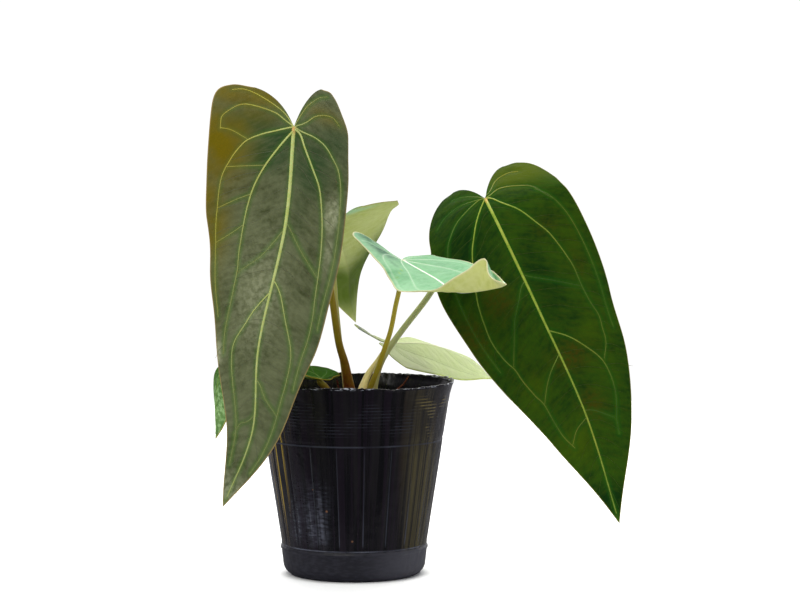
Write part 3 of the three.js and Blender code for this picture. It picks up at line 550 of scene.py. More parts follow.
class Blade:
    """The middle surface of one leaf blade."""

    def __init__(self, name):
        self.name, self.leaf = name, LEAVES[name]
        self.steps = np.linspace(0, len(self.leaf["midrib"]) - 1, 401)
        gone = distances(spline(self.leaf["midrib"], self.steps))
        self.gone = gone - np.interp(1.0, self.steps, gone)
        self.length = self.gone[-1]

    def midrib(self, along):
        """Place, tangent, side and facing of the midrib at distances from the stalk."""
        t = np.interp(along, self.gone, self.steps)
        beyond = np.minimum(along - self.gone[0], 0) + np.maximum(along - self.gone[-1], 0)
        ahead, behind = (spline(self.leaf["midrib"], t + d) for d in (0.01, -0.01))
        tangent = unit(ahead - behind)
        point = spline(self.leaf["midrib"], t) + tangent * beyond[..., None]
        facing = spline(self.leaf["face"], 2 * np.clip(along / self.length, 0, 1))
        facing = unit(facing - (facing * tangent).sum(-1, keepdims=True) * tangent)
        return point, tangent, np.cross(tangent, facing), facing

    def along(self, values, share):
        """Value of a list given at the lobe, at the stalk and on to the tip."""
        ahead = 1 + np.clip(share, 0, 1) * (len(values) - 2)
        return spline(values, np.where(share < 0, 1 + share / LOBE_REACH, ahead))

    def size(self, half, share):
        """Share along with the lobe at its own length, and the half's width there."""
        share = np.where(share < 0, share * self.leaf["lobe"][half], share)
        return share, self.along(self.leaf["half"][half], share)

    def point(self, half, across, share):
        """Points of a half at shares of its half width and of the blade's length."""
        share, width = self.size(half, share)
        fold, bend = (np.radians(self.along(self.leaf[key][half], share)) for key in ("fold", "curl"))
        bend = np.where(np.abs(bend) < 1e-3, 1e-3, bend)
        out = width / bend * (np.sin(fold + bend * across) - np.sin(fold))
        up = -width / bend * (np.cos(fold + bend * across) - np.cos(fold))
        point, _, side, facing = self.midrib(share * self.length)
        sign = 1 if half == 0 else -1
        return point + side * (sign * out)[..., None] + facing * up[..., None]

    def plan(self, half, across, share):
        """The same points on a flat plan in millimetres, half 0 on the negative side."""
        share, width = self.size(half, share)
        sign = -1 if half == 0 else 1
        return np.stack([sign * across * width, share * self.length], -1)

    def facing(self, half, across, share):
        """Which way the upper face looks at points of a half."""
        wide = self.point(half, across + 0.02, share) - self.point(half, across - 0.02, share)
        long = self.point(half, across, share + 0.004) - self.point(half, across, share - 0.004)
        return unit(np.cross(wide, long) if half == 1 else np.cross(long, wide))

    def spots(self, half, kind, across, share):
        """Cover of the spots of one kind at points of a half."""
        cover = np.zeros(np.shape(share))
        for x, y, reach_x, reach_y, strength in self.leaf.get(kind, ()):
            away = (((across if half else -across) - x) / reach_x) ** 2 + ((share - y) / reach_y) ** 2
            cover = np.maximum(cover, strength * np.exp(-away))
        return cover


def plan_shares(u, v):
    """Shares across and along for a place on the grid: u from midrib to margin, v in rows."""
    start, handle_x, handle_y, end_x, end_y = np.moveaxis(spline(RIB_PLAN, v), -1, 0)
    across = 2 * u * (1 - u) * handle_x + u * u * end_x
    share = (1 - u) ** 2 * np.maximum(start, 0) + 2 * u * (1 - u) * handle_y + u * u * end_y
    return across, share


def half_ribs(name, half):
    """Raised ribs of one half of a leaf."""
    return LEAF_RIBS[name][half] if name in LEAF_RIBS else MAIN_RIBS


def cross_ribs(ribs, seed):
    """Faint side ribs by rule: midrib to the inner arc, on to the outer arc, and near the tip."""
    random = np.random.default_rng(seed)
    inner, outer = (np.array(points) for points, _, _ in ribs[:2])

    def reach(rib, along):
        return np.interp(along, rib[:, 1], rib[:, 0])

    lines = []
    for start in np.arange(0.05, 0.4, 0.052):
        start = start + random.uniform(-0.008, 0.008)
        end = start + 0.06 + random.uniform(-0.01, 0.012)
        far = reach(inner, end)
        lines.append([(0, start), (0.35 * far, start + 0.014), (0.7 * far, end - 0.02), (far, end)])
    for start in np.arange(0.06, 0.6, 0.052):
        start = start + random.uniform(-0.012, 0.012)
        end = start + 0.035 + random.uniform(-0.01, 0.01)
        near, far = reach(inner, start), reach(outer, end)
        lines.append([(near, start), ((near + far) / 2, start + 0.012), (far, end)])
    for start in np.arange(0.5, 0.92, 0.05):
        end = start + 0.06 + random.uniform(-0.01, 0.01)
        far = 0.85 * np.interp(end, *TIP_MARGIN)
        lines.append([(0, start), (0.4 * far, start + 0.014), (far, end)])
    return [np.array(line, float) for line in lines]


def distance_to_line(points, line):
    """Least distance of each flat point from a line of points."""
    best = np.full(len(points), 1e9)
    for a, b in zip(line[:-1], line[1:]):
        ab = b - a
        t = np.clip(((points - a) @ ab) / (ab @ ab + 1e-9), 0, 1)
        best = np.minimum(best, np.linalg.norm(points - a - t[:, None] * ab, axis=1))
    return best


def rib_lines(blade, half, seed):
    """Ribs of a half on the flat plan in millimetres: the raised ones, and the faint ones."""
    ribs = half_ribs(blade.name, half)
    raised = [np.stack([np.zeros(60), np.linspace(0, 0.99, 60)], -1)]
    raised += [smooth_line(points, 40) for points, _, _ in ribs]
    faint = [smooth_line(points, 8) for points in cross_ribs(ribs, seed + half)]
    return ([blade.plan(half, *fine.T) for fine in lines] for lines in (raised, faint))


def margin_wave(blade, half, across, share, seed):
    """Ripple of the margin, in millimetres."""
    height, waves = blade.leaf["ripple"]
    reach = np.clip((across - 0.72) / 0.25, 0, 1) ** 2
    return height * reach * np.sin(2 * math.pi * (waves * share + 0.37 * seed + 0.5 * half))


def blade_grid(blade, seed):
    """Middle surface of a blade: points, faces, and what is known at each point."""
    across_steps, row_steps = blade.leaf["steps"]
    u, v = np.meshgrid(np.linspace(0, 1, across_steps + 1), np.linspace(0, TIP_ROW, row_steps + 1),
                       indexing="ij")
    across, share = plan_shares(u, v)
    ids = np.zeros((2, across_steps + 1, row_steps + 1), int)
    on_midrib = v[0] > FIRST_ON_MIDRIB
    ids[:, 0, on_midrib] = 1 + np.arange(on_midrib.sum())
    tip = on_midrib.sum()
    own = 1 + tip + np.arange(2 * across_steps * row_steps).reshape(2, across_steps, row_steps)
    ids[:, 1:, :-1] = own
    ids[:, :, -1] = tip
    count = ids.max() + 1
    points, plan = np.zeros((count, 3)), np.zeros((count, 2))
    fields = {name: np.zeros(count) for name in ("near", "lift", "rim", *SPOT_KINDS, "wave")}
    faces = []
    for half, grid in enumerate(ids):
        places = grid.ravel()
        points[places] = blade.point(half, across, share).reshape(-1, 3)
        flat = blade.plan(half, across, share).reshape(-1, 2)
        plan[places] = flat
        raised, faint = (np.min([distance_to_line(flat, line) for line in lines], axis=0)
                         for lines in rib_lines(blade, half, seed))
        margin = blade.plan(half, *plan_shares(np.ones(160), np.linspace(0, TIP_ROW, 160)))
        rim = distance_to_line(flat, margin)
        valley = np.minimum(1 - np.exp(-(raised / VALLEY_REACH) ** 2),
                            1 - 0.75 * np.exp(-(faint / FAINT_REACH) ** 2))
        known = {"near": raised, "rim": rim, "lift": valley * np.clip(rim / FLAT_MARGIN, 0, 1),
                 "wave": margin_wave(blade, half, across, share, seed).ravel(),
                 **{kind: blade.spots(half, kind, across, share).ravel() for kind in SPOT_KINDS}}
        for field, values in known.items():
            fields[field][places] = values
        quads = np.stack([grid[:-1, :-1], grid[1:, :-1], grid[1:, 1:], grid[:-1, 1:]], -1).reshape(-1, 4)
        for quad in (quads if half == 0 else quads[:, ::-1]).tolist():
            corners = [c for k, c in enumerate(quad) if c != quad[k - 1]]
            if len(set(corners)) > 2:
                faces.append(corners)
    return points, faces, plan, fields


def point_normals(points, faces):
    """Mean direction of the faces round each point."""
    fans = np.array([(f[0], f[k], f[k + 1]) for f in faces for k in range(1, len(f) - 1)])
    a, b, c = (points[fans[:, k]] for k in range(3))
    normal = np.cross(b - a, c - a)
    total = np.zeros_like(points)
    for k in range(3):
        np.add.at(total, fans[:, k], normal)
    return unit(total + 1e-12)


def open_edges(faces):
    """Edges that only one face has, each in that face's direction."""
    directed = {(f[k - 1], f[k]) for f in faces for k in range(len(f))}
    return [(a, b) for a, b in directed if (b, a) not in directed]


def blade_sheet(name, seed, settings):
    """Quilted middle surface of a blade, with half its thickness as an arrow at each point."""
    points, faces, plan, fields = blade_grid(Blade(name), seed)
    normals = point_normals(points, faces)
    lift = fields.pop("lift") * settings.quilt / MM + fields.pop("wave")
    # the sheet thins over the last 0.8 mm before the margin
    half = settings.thickness / MM / 2 * (0.45 + 0.55 * np.clip(fields["rim"] / 0.8, 0, 1))
    return points + normals * lift[:, None], normals * half[:, None], faces, plan, fields


def blade_mesh(name, seed, settings):
    """One blade as a closed sheet with quilted tissue and a thin rounded margin."""
    middle, half, faces, plan, fields = blade_sheet(name, seed, settings)
    count = len(middle)
    sides = faces + [[count + c for c in reversed(face)] for face in faces]
    sides += [[b, a, count + a, count + b] for a, b in open_edges(faces)]
    both = {field: np.tile(values, 2) for field, values in fields.items()}
    both["under"] = np.repeat((0.0, 1.0), count)
    return mesh_object(f"leaf_{name}_blade", np.concatenate([middle + half, middle - half]), sides,
                       fields=both, plan=np.tile(plan, (2, 1)) * MM)


def rib_paths(name, seed, settings):
    """Ribs of a blade as lines in space: points and radius in millimetres, cover of the amber spots,
    which on A are painted light shining through, and fading. Each point is let down onto the quilted
    face from just above it, so a rib shows all along."""
    blade = Blade(name)
    middle, thick, faces, _, _ = blade_sheet(name, seed, settings)
    face = BVHTree.FromPolygons((middle + thick).tolist(), faces)
    # ribs are thinner on the shorter blades
    sized = min(1.0, blade.length / 190 + 0.25)
    side_stout, midrib_stout = (sized * LEAF_LOOKS[name][key] for key in ("side_stout", "midrib_stout"))
    paths = []

    def lay(half, across, share, radius, fading):
        radius = radius * (side_stout if across.any() else midrib_stout)
        normal = blade.facing(half, np.maximum(across, 0.021), share)
        if not across.any():
            normal = blade.midrib(share * blade.length)[3]
        above = blade.point(half, across, share) + normal * FALL_FROM
        fall = [face.ray_cast(Vector(point), Vector(way), 2 * FALL_FROM)[3] or FALL_MISSED
                for point, way in zip(above, -normal)]
        sunk = fall + radius - settings.rib_rise * radius - LEAST_RISE * np.clip(radius / 0.2, 0.3, 1)
        paths.append((above - normal * sunk[:, None], radius, blade.spots(half, "yellow_and_painted_backlight", across, share),
                      np.linspace(*fading, len(share))))

    share = np.linspace(0.0, 0.97, 110)
    lay(0, 0 * share, share, np.interp(share, (0, 0.5, 1), MIDRIB_RADII), (0, 0.45))
    for half in (0, 1):
        ribs = half_ribs(name, half)
        lines = [(smooth_line(points, 10 * (len(points) - 1)), first, last, (max(0, 1.2 - 2 * first), 1))
                 for points, first, last in ribs]
        lines += [(smooth_line(points, 14), 0.18, 0.1, (1.6, 1.9))
                  for points in cross_ribs(ribs, seed + half)]
        for fine, first, last, fading in lines:
            lay(half, *fine.T, np.linspace(first, last, len(fine)), fading)
    return paths


def line_object(name, paths, fields):
    """Bare edges along paths, with the radius at each point, for the tube tree to follow."""
    edges, first = [], 0
    for path, *_ in paths:
        edges.extend((k, k + 1) for k in range(first, first + len(path) - 1))
        first += len(path)
    points, radii = (np.concatenate([path[k] for path in paths]) for k in (0, 1))
    return mesh_object(name, points, edges=edges, fields={"radius": radii * MM, **fields})


# Node trees

TUBES = "Tube along lines"


def feed(node, inputs):
    """Gives a node its inputs: each is a value, an output, or a node that stands for its first one."""
    for key, value in inputs.items():
        if isinstance(value, bpy.types.Node):
            value = value.outputs[0]
        if isinstance(value, bpy.types.NodeSocket):
            node.id_data.links.new(value, node.inputs[key])
        else:
            node.inputs[key].default_value = value
    return node


def add_node(tree, kind, inputs=None, **settings):
    """Adds a node with its settings and its inputs."""
    made = tree.nodes.new(kind)
    for name, value in settings.items():
        setattr(made, name, value)
    return feed(made, inputs or {})


def new_tree(name, sockets):
    """An empty geometry tree with a geometry in and out, its named inputs, and what adds a node."""
    tree = bpy.data.node_groups.new(name, "GeometryNodeTree")
    tree.interface.new_socket("Geometry", in_out="OUTPUT", socket_type="NodeSocketGeometry")
    for label, kind in [("Geometry", "Geometry"), *sockets]:
        tree.interface.new_socket(label, in_out="INPUT", socket_type=f"NodeSocket{kind}")
    return tree, tree.nodes.new("NodeGroupInput").outputs, functools.partial(add_node, tree)


def close_tree(tree, geometry, material):
    """Ends a tree: instances become plain mesh and take their material."""
    real = add_node(tree, "GeometryNodeRealizeInstances", {"Geometry": geometry})
    painted = add_node(tree, "GeometryNodeSetMaterial", {"Geometry": real, "Material": material})
    add_node(tree, "NodeGroupOutput", {0: painted})
    return tree


def run_tree(obj, tree, values):
    """Puts the tree on the object with its inputs set by identifier, then keeps the plain result."""
    modifier = obj.modifiers.new(tree.name, "NODES")
    modifier.node_group = tree
    for item in tree.interface.items_tree:
        if item.in_out == "INPUT" and item.name in values:
            modifier[item.identifier] = values[item.name]
    return made_plain(obj)


def tube_tree():
    """A round tube along every line of edges, as wide as the radius stored at its points."""
    tree, given, node = new_tree(TUBES, [
        ("Ring Points", "Int"), ("Swell", "Float"), ("Material", "Material")])
    lines = node("GeometryNodeMeshToCurve", {"Mesh": given["Geometry"]})
    radius = node("GeometryNodeInputNamedAttribute", {"Name": "radius"}, data_type="FLOAT")
    wide = node("ShaderNodeMath", {0: radius, 1: given["Swell"]}, operation="MULTIPLY")
    ring = node("GeometryNodeCurvePrimitiveCircle", {"Resolution": given["Ring Points"], "Radius": 1.0})
    tube = node("GeometryNodeCurveToMesh", {
        "Curve": lines, "Profile Curve": ring, "Scale": wide, "Fill Caps": True})
    smooth = node("GeometryNodeSetShadeSmooth", {"Geometry": tube})
    return close_tree(tree, smooth, given["Material"])


def lay_tubes(name, paths, fields, values, slot, *nodes):
    """One finished piece of tubes along paths, with the tree's values and a number per point."""
    piece = line_object(name, paths, fields)
    run_tree(piece, bpy.data.node_groups.get(TUBES) or tube_tree(), values)
    finished(piece, slot, *nodes)


def chips_tree():
    """Bark chips strewn over the upward faces of the mix, in three shapes, sunk into one another."""
    tree, given, node = new_tree("Bark chips", [
        ("Spacing", "Float"), ("Chip Size", "Float"), ("Seed", "Int"), ("Material", "Material")])
    top = node("GeometryNodeInputNamedAttribute", {"Name": "top"}, data_type="FLOAT")
    points = node("GeometryNodeDistributePointsOnFaces", {
        "Mesh": given["Geometry"], "Selection": top, "Distance Min": given["Spacing"],
        "Density Max": 90000.0, "Seed": given["Seed"]}, distribute_method="POISSON")
    kinds = node("GeometryNodeJoinGeometry")
    for k, shape in enumerate(CHIP_SHAPES):
        block = node("GeometryNodeMeshCube", {
            "Size": shape, "Vertices X": 4, "Vertices Y": 3, "Vertices Z": 3})
        rough = node("ShaderNodeTexNoise", {"Scale": 2.1 + 0.7 * k, "Detail": 2.0}).outputs["Color"]
        centred = node("ShaderNodeVectorMath", {0: rough, 1: (0.5,) * 3}, operation="SUBTRACT")
        pushed = node("ShaderNodeVectorMath", {0: centred, "Scale": 0.75}, operation="SCALE")
        chip = node("GeometryNodeSetPosition", {"Geometry": block, "Offset": pushed})
        sealed = node("GeometryNodeMergeByDistance", {"Geometry": chip})
        feed(kinds, {0: node("GeometryNodeGeometryToInstance", {"Geometry": sealed})})
    turn, size, choice = (
        node("FunctionNodeRandomValue", {**span, "Seed": given["Seed"]}, data_type=kind)
        for kind, span in (("FLOAT_VECTOR", {0: (-0.6, -0.6, 0.0), 1: (0.6, 0.6, 6.283)}),
                           ("FLOAT", {2: 0.45, 3: 1.35}), ("INT", {4: 0, 5: 2})))
    scaled = node("ShaderNodeMath", {0: size.outputs[1], 1: given["Chip Size"]}, operation="MULTIPLY")
    strewn = node("GeometryNodeInstanceOnPoints", {
        "Points": points, "Instance": kinds, "Pick Instance": True,
        "Instance Index": choice.outputs[2], "Rotation": turn, "Scale": scaled})
    shade = node("FunctionNodeRandomValue", {2: 0.0, 3: 1.0}, data_type="FLOAT").outputs[1]
    tinted = node("GeometryNodeStoreNamedAttribute", {
        "Geometry": strewn, "Name": "tint", "Value": shade}, data_type="FLOAT", domain="INSTANCE")
    both = node("GeometryNodeJoinGeometry", {0: tinted})
    feed(both, {0: given["Geometry"]})
    return close_tree(tree, both, given["Material"])


def pot_tree():
    """Pleat lines, fine ridges and a slight wobble pressed into the turned wall of the pot."""
    tree, given, node = new_tree("Pleated film wall", [
        ("Pleats", "Int"), ("Pleat Depth", "Float"), ("First Pleat", "Float"), ("Ridge Pitch", "Float"),
        ("Ridge Height", "Float"), ("Wobble", "Float"), ("Material", "Material")])
    position = node("GeometryNodeInputPosition")
    x, y, z = node("ShaderNodeSeparateXYZ", {0: position}).outputs
    level = node("ShaderNodeCombineXYZ", {0: x, 1: y})
    radius = node("ShaderNodeVectorMath", {0: level}, operation="LENGTH").outputs[1]
    outwards = node("ShaderNodeVectorMath", {0: level}, operation="NORMALIZE")
    outer, soft = (node("GeometryNodeInputNamedAttribute", {"Name": name}, data_type="FLOAT")
                   for name in ("outer", "soft"))
    uneven, slow = (node("ShaderNodeTexNoise", {"Vector": position, "Scale": scale, "Detail": detail})
                    for scale, detail in ((26.0, 1.0), (19.0, 2.0)))
    pleated, ridged = (
        patch(tree, *((z, (end + FOOT_DROP - fade) * MM, (end + FOOT_DROP + fade) * MM, first, 1 - first)
                      for end, first in zip(heights, (0.0, 1.0))))
        for heights, fade in ((PLEATS_Z, 0.8), (RIDGES_Z, 1.2)))
    # place across the nearest pleat's line, in half widths of the line
    across = node("ShaderNodeMath", {0: y, 1: x}, operation="ARCTAN2")
    for operation, by in (("SUBTRACT", given["First Pleat"]), ("MULTIPLY", given["Pleats"]),
                          ("DIVIDE", math.tau), ("ADD", 0.5), ("FRACT", 0.0), ("SUBTRACT", 0.5),
                          ("MULTIPLY", math.tau), ("DIVIDE", given["Pleats"]), ("MULTIPLY", radius),
                          ("DIVIDE", PLEAT_HALF_WIDTH * MM)):
        across = node("ShaderNodeMath", {0: across, 1: by}, operation=operation)
    pleat = node("ShaderNodeMath", {0: across, 1: across}, operation="MULTIPLY")
    for operation, by in (("MULTIPLY", -1.0), ("EXPONENT", 0.0), ("MULTIPLY", given["Pleat Depth"]),
                          ("MULTIPLY", pleated)):
        pleat = node("ShaderNodeMath", {0: pleat, 1: by}, operation=operation)
    detail, wander = z, slow
    for operation, by in (("MULTIPLY", math.tau), ("DIVIDE", given["Ridge Pitch"]), ("SINE", 0.0),
                          ("MULTIPLY", given["Ridge Height"]), ("MULTIPLY", uneven),
                          ("MULTIPLY", ridged), ("SUBTRACT", pleat), ("MULTIPLY", outer)):
        detail = node("ShaderNodeMath", {0: detail, 1: by}, operation=operation)
    for operation, by in (("SUBTRACT", 0.5), ("MULTIPLY", given["Wobble"]), ("MULTIPLY", soft),
                          ("ADD", detail)):
        wander = node("ShaderNodeMath", {0: wander, 1: by}, operation=operation)
    push = node("ShaderNodeVectorMath", {0: outwards, "Scale": wander}, operation="SCALE")
    moved = node("GeometryNodeSetPosition", {"Geometry": given["Geometry"], "Offset": push})
    return close_tree(tree, moved, given["Material"])


# Materials

def new_material(name, settings):
    """A material, its main shader with constants on the shader's own sockets, and what adds a node."""
    material = bpy.data.materials.new(name)
    material.use_nodes = True
    tree = material.node_tree
    return material, tree, feed(tree.nodes["Principled BSDF"], settings), functools.partial(add_node, tree)


def patch(tree, *edges):
    """Cover of a patch, the product of its edges. An edge is a cover itself, or the value that it
    follows, the stretch of that value, and the cover at either end, 0 and 1 unless given."""
    cover = 1.0
    for edge in edges:
        if isinstance(edge, tuple):
            value, low, high, first, last = (*edge, 0.0, 1.0)[:5]
            edge = add_node(tree, "ShaderNodeMapRange", {
                "Value": value, "From Min": low, "From Max": high, "To Min": first, "To Max": last},
                interpolation_type="SMOOTHSTEP")
        cover = add_node(tree, "ShaderNodeMath", {0: cover, 1: edge}, operation="MULTIPLY")
    return cover


def coats(tree, colour, *layers):
    """Colour after each coat is laid over the ones before: a coat has its colour and its edges."""
    for coat, *edges in layers:
        colour = add_node(tree, "ShaderNodeMix", {
            0: patch(tree, *edges), 6: rgba(colour), 7: rgba(coat)}, data_type="RGBA").outputs[2]
    return colour


def velvet_blade(name):
    """Living leaf, velvety above and satin below: tiny domed cells scatter the light, so the face
    looks soft and deep, the thin tissue lets light through, and it is greener beside the ribs."""
    look = LEAF_LOOKS[name]
    material, tree, shader, node = new_material(f"velvet_leaf_tissue_{name}", {
        "Roughness": 0.58, "IOR": 1.4, "Specular IOR Level": look["gloss"]})
    near, rim, yellow_and_painted_backlight, deep, painted_sheen_and_tint, under = (
        node("ShaderNodeAttribute", attribute_name=stored).outputs["Fac"]
        for stored in ("near", "rim", "yellow_and_painted_backlight", "deep", "painted_sheen_and_tint", "under"))
    plan = node("ShaderNodeUVMap", uv_map="plan")
    # rows that slant away from the midrib like the side ribs
    across, along, _ = node("ShaderNodeSeparateXYZ", {0: plan}).outputs
    aside = node("ShaderNodeMath", {0: across}, operation="ABSOLUTE")
    slant = node("ShaderNodeMath", {0: aside, 1: -0.5, 2: along}, operation="MULTIPLY_ADD")
    drawn = node("ShaderNodeMath", {0: aside, 1: 0.3}, operation="MULTIPLY")
    side = node("ShaderNodeMath", {0: across, 1: 0.02}, operation="MULTIPLY")
    rows = node("ShaderNodeCombineXYZ", {0: slant, 1: drawn, 2: side})
    # broad patches about 25 mm long, mottling about 3 mm, feathering about 4 mm apart, flecks about
    # 1.5 mm, and domed cells about 1 mm, coarser than real so that they show
    patches, mottle, feather, flecks = (
        node("ShaderNodeTexNoise", {"Vector": where, "Scale": scale, "Detail": detail, "Roughness": rough})
        for where, scale, detail, rough in ((plan, 42.0, 3.0, 0.5), (plan, 330.0, 4.0, 0.6),
                                            (rows, 260.0, 4.0, 0.5), (rows, 640.0, 3.0, 0.5)))
    domes = node("ShaderNodeTexVoronoi", {"Vector": plan, "Scale": 900.0})

    light = [patch(tree, (noise, low, high, 0.0, most)) for noise, low, high, most in (
        (feather, 0.36, 0.64, 0.4), (patches, 0.36, 0.64, 0.45), (mottle, 0.35, 0.65, 0.3))]
    low_rib = patch(tree, (near, 0.3, 1.5, look["low_paling"], 0.0))
    # darker spots below; on D they are a painted shadow band, which also dims the light let through
    low_deep = look["low_deep"], patch(tree, (deep, 0.0, 1.0, 0.0, 0.95))
    upper = coats(
        tree, look["shade"], *((look["light"], cover) for cover in light),
        (look["fleck"], (flecks, 0.5, 0.64, 0.0, look["flecked"])),
        (look["deep"], (deep, 0.0, 1.0), (flecks, 0.4, 0.7, 1.0, 0.6)),
        # amber spots; on A they are painted light shining through the blade
        (look["yellow_and_painted_backlight"], (yellow_and_painted_backlight, 0.0, 1.0), (patches, 0.38, 0.58, 0.62, 1.0)),
        (look["border"], (near, 0.6, 3.2, look["bordered"], 0.0), (yellow_and_painted_backlight, 0.0, 1.0, 1.0, 0.3)),
        # the tint: a painted sheen on A and a painted highlight on E, rust on B
        (look["painted_sheen_and_tint"], (painted_sheen_and_tint, 0.0, 1.0), (mottle, 0.4, 0.62, 0.3, 1.0)),
        (coats(tree, look["rib"], (GOLD_RIB, yellow_and_painted_backlight)), (near, 0.3, 1.4, look["paling"], 0.0)))
    lower = coats(tree, look["low_shade"], *((look["low_light"], cover) for cover in light),
                  (look["painted_sheen_and_tint"], painted_sheen_and_tint), low_deep, (look["low_rib"], low_rib))
    face = coats(tree, upper, (lower, under), (look["margin"], (rim, 0.0, look["edge"], 1.0, 0.0)))
    height = node("ShaderNodeMath", {0: feather, 1: 3.0, 2: domes}, operation="MULTIPLY_ADD")
    bump = node("ShaderNodeBump", {"Height": height, "Strength": 0.55, "Distance": 0.2 * MM})
    feed(shader, {"Base Color": face, "Normal": bump})
    lit = coats(tree, look["through"], (look["rib"], low_rib), (look["flush_through"], yellow_and_painted_backlight),
                (look["painted_sheen_and_tint"], painted_sheen_and_tint), low_deep)
    glass = node("ShaderNodeBsdfTranslucent", {"Color": lit, "Normal": bump})
    mix = node("ShaderNodeMixShader", {0: look["glow"], 1: shader, 2: glass})
    feed(tree.nodes["Material Output"], {0: mix})
    return material


def rib_tissue(name):
    """Fleshy leaf rib, smooth and waxy: it catches a soft highlight, shows paler than the blade and
    turns greener towards its far end."""
    look = LEAF_LOOKS[name]
    material, tree, shader, node = new_material(f"waxy_rib_tissue_{name}", {
        "Roughness": 0.42, "IOR": 1.42, "Specular IOR Level": 0.3, "Subsurface Weight": 0.1,
        "Subsurface Scale": 0.0008})
    spot = node("ShaderNodeTexCoord").outputs["Object"]
    # grain about 4 mm long
    grain = node("ShaderNodeTexNoise", {"Vector": spot, "Scale": 220.0, "Detail": 3.0})
    yellow_and_painted_backlight, fading = (node("ShaderNodeAttribute", attribute_name=stored).outputs["Fac"]
                     for stored in ("yellow_and_painted_backlight", "fading"))
    # ribs turn gold in the amber spots, which on A are painted light shining through
    colour = coats(tree, look["rib"], (look["rib_pale"], (grain, 0.35, 0.65)),
                   (look["rib_end"], (fading, 0.0, 0.8)), (GOLD_RIB, yellow_and_painted_backlight),
                   (look["fleck"], (fading, 1.0, 1.7)), (JUNCTION, (fading, 0.0, 0.014, 0.8, 0.0)))
    feed(shader, {"Base Color": colour})
    return material


def stalk_skin(name):
    """Living stalk, smooth green skin flushed towards its base, with fine lengthwise lines and
    small pale dots: a soft gloss runs down its side."""
    base, shank, top = STALK_COLOURS[name]
    material, tree, shader, node = new_material(f"smooth_stalk_skin_{name}", {
        "Roughness": 0.4, "IOR": 1.42, "Specular IOR Level": 0.3, "Subsurface Weight": 0.08,
        "Subsurface Scale": 0.0015})
    spot = node("ShaderNodeTexCoord").outputs["Object"]
    drawn = node("ShaderNodeMapping", {"Vector": spot, "Scale": (1.0, 1.0, 0.08)})
    # lines about 0.7 mm apart, stretched along the stalk, dots 1.2 mm apart, blotches about 9 mm
    lines = node("ShaderNodeTexNoise", {"Vector": drawn, "Scale": 1400.0, "Detail": 2.0})
    dots = node("ShaderNodeTexVoronoi", {"Vector": spot, "Scale": 800.0}).outputs["Distance"]
    blotch = node("ShaderNodeTexNoise", {"Vector": spot, "Scale": 110.0, "Detail": 3.0})
    rise = node("ShaderNodeAttribute", attribute_name="rise").outputs["Fac"]
    level = node("ShaderNodeMath", {0: blotch, 1: 0.25, 2: rise}, operation="MULTIPLY_ADD")
    colour = coats(tree, base, (shank, (level, 0.14, 0.5)), (top, (level, 0.7, 1.1)),
                   (shank, (lines, 0.45, 0.7, 0.0, 0.4)), ("c9c79a", (dots, 0.0, 0.2, 0.3, 0.0)))
    bump = node("ShaderNodeBump", {"Height": lines, "Strength": 0.3, "Distance": 0.12 * MM})
    feed(shader, {"Base Color": colour, "Normal": bump})
    return material


def corky_skin(name, dark, light, grain_size):
    """Dry outer skin of root or crown, corky and matt: small cracks and paler flakes."""
    material, tree, shader, node = new_material(name, {
        "Roughness": 0.82, "IOR": 1.45, "Specular IOR Level": 0.3})
    spot = node("ShaderNodeTexCoord").outputs["Object"]
    grain = node("ShaderNodeTexNoise", {
        "Vector": spot, "Scale": 1 / (grain_size * MM), "Detail": 6.0, "Roughness": 0.65})
    cracks = node("ShaderNodeTexVoronoi", {"Vector": spot, "Scale": 1.6 / (grain_size * MM)},
                  feature="DISTANCE_TO_EDGE").outputs["Distance"]
    colour = coats(tree, dark, (light, (grain, 0.35, 0.7)), ("2a1a10", (cracks, 0.0, 0.08, 0.6, 0.0)))
    bump = node("ShaderNodeBump", {"Height": grain, "Strength": 0.8, "Distance": 0.4 * MM})
    feed(shader, {"Base Color": colour, "Normal": bump})
    return material


def composted_bark():
    """Composted pine bark, broken into chips: matt, fibrous, red-brown to nearly black."""
    material, tree, shader, node = new_material("composted_pine_bark", {
        "Roughness": 0.9, "IOR": 1.45, "Specular IOR Level": 0.25})
    spot = node("ShaderNodeTexCoord").outputs["Object"]
    drawn = node("ShaderNodeMapping", {"Vector": spot, "Scale": (1.0, 0.35, 1.6)})
    # fibres about 0.8 mm wide
    fibre = node("ShaderNodeTexNoise", {"Vector": drawn, "Scale": 1250.0, "Detail": 4.0})
    tint = node("ShaderNodeAttribute", attribute_name="tint").outputs["Fac"]
    colour = coats(tree, "2b1a12", ("6a4029", (tint, 0.1, 0.9)), ("8a5a3c", (fibre, 0.4, 0.7, 0.0, 0.7)),
                   ("a88a66", (tint, 0.9, 0.97)))
    bump = node("ShaderNodeBump", {"Height": fibre, "Strength": 0.9, "Distance": 0.5 * MM})
    feed(shader, {"Base Color": colour, "Normal": bump})
    return material


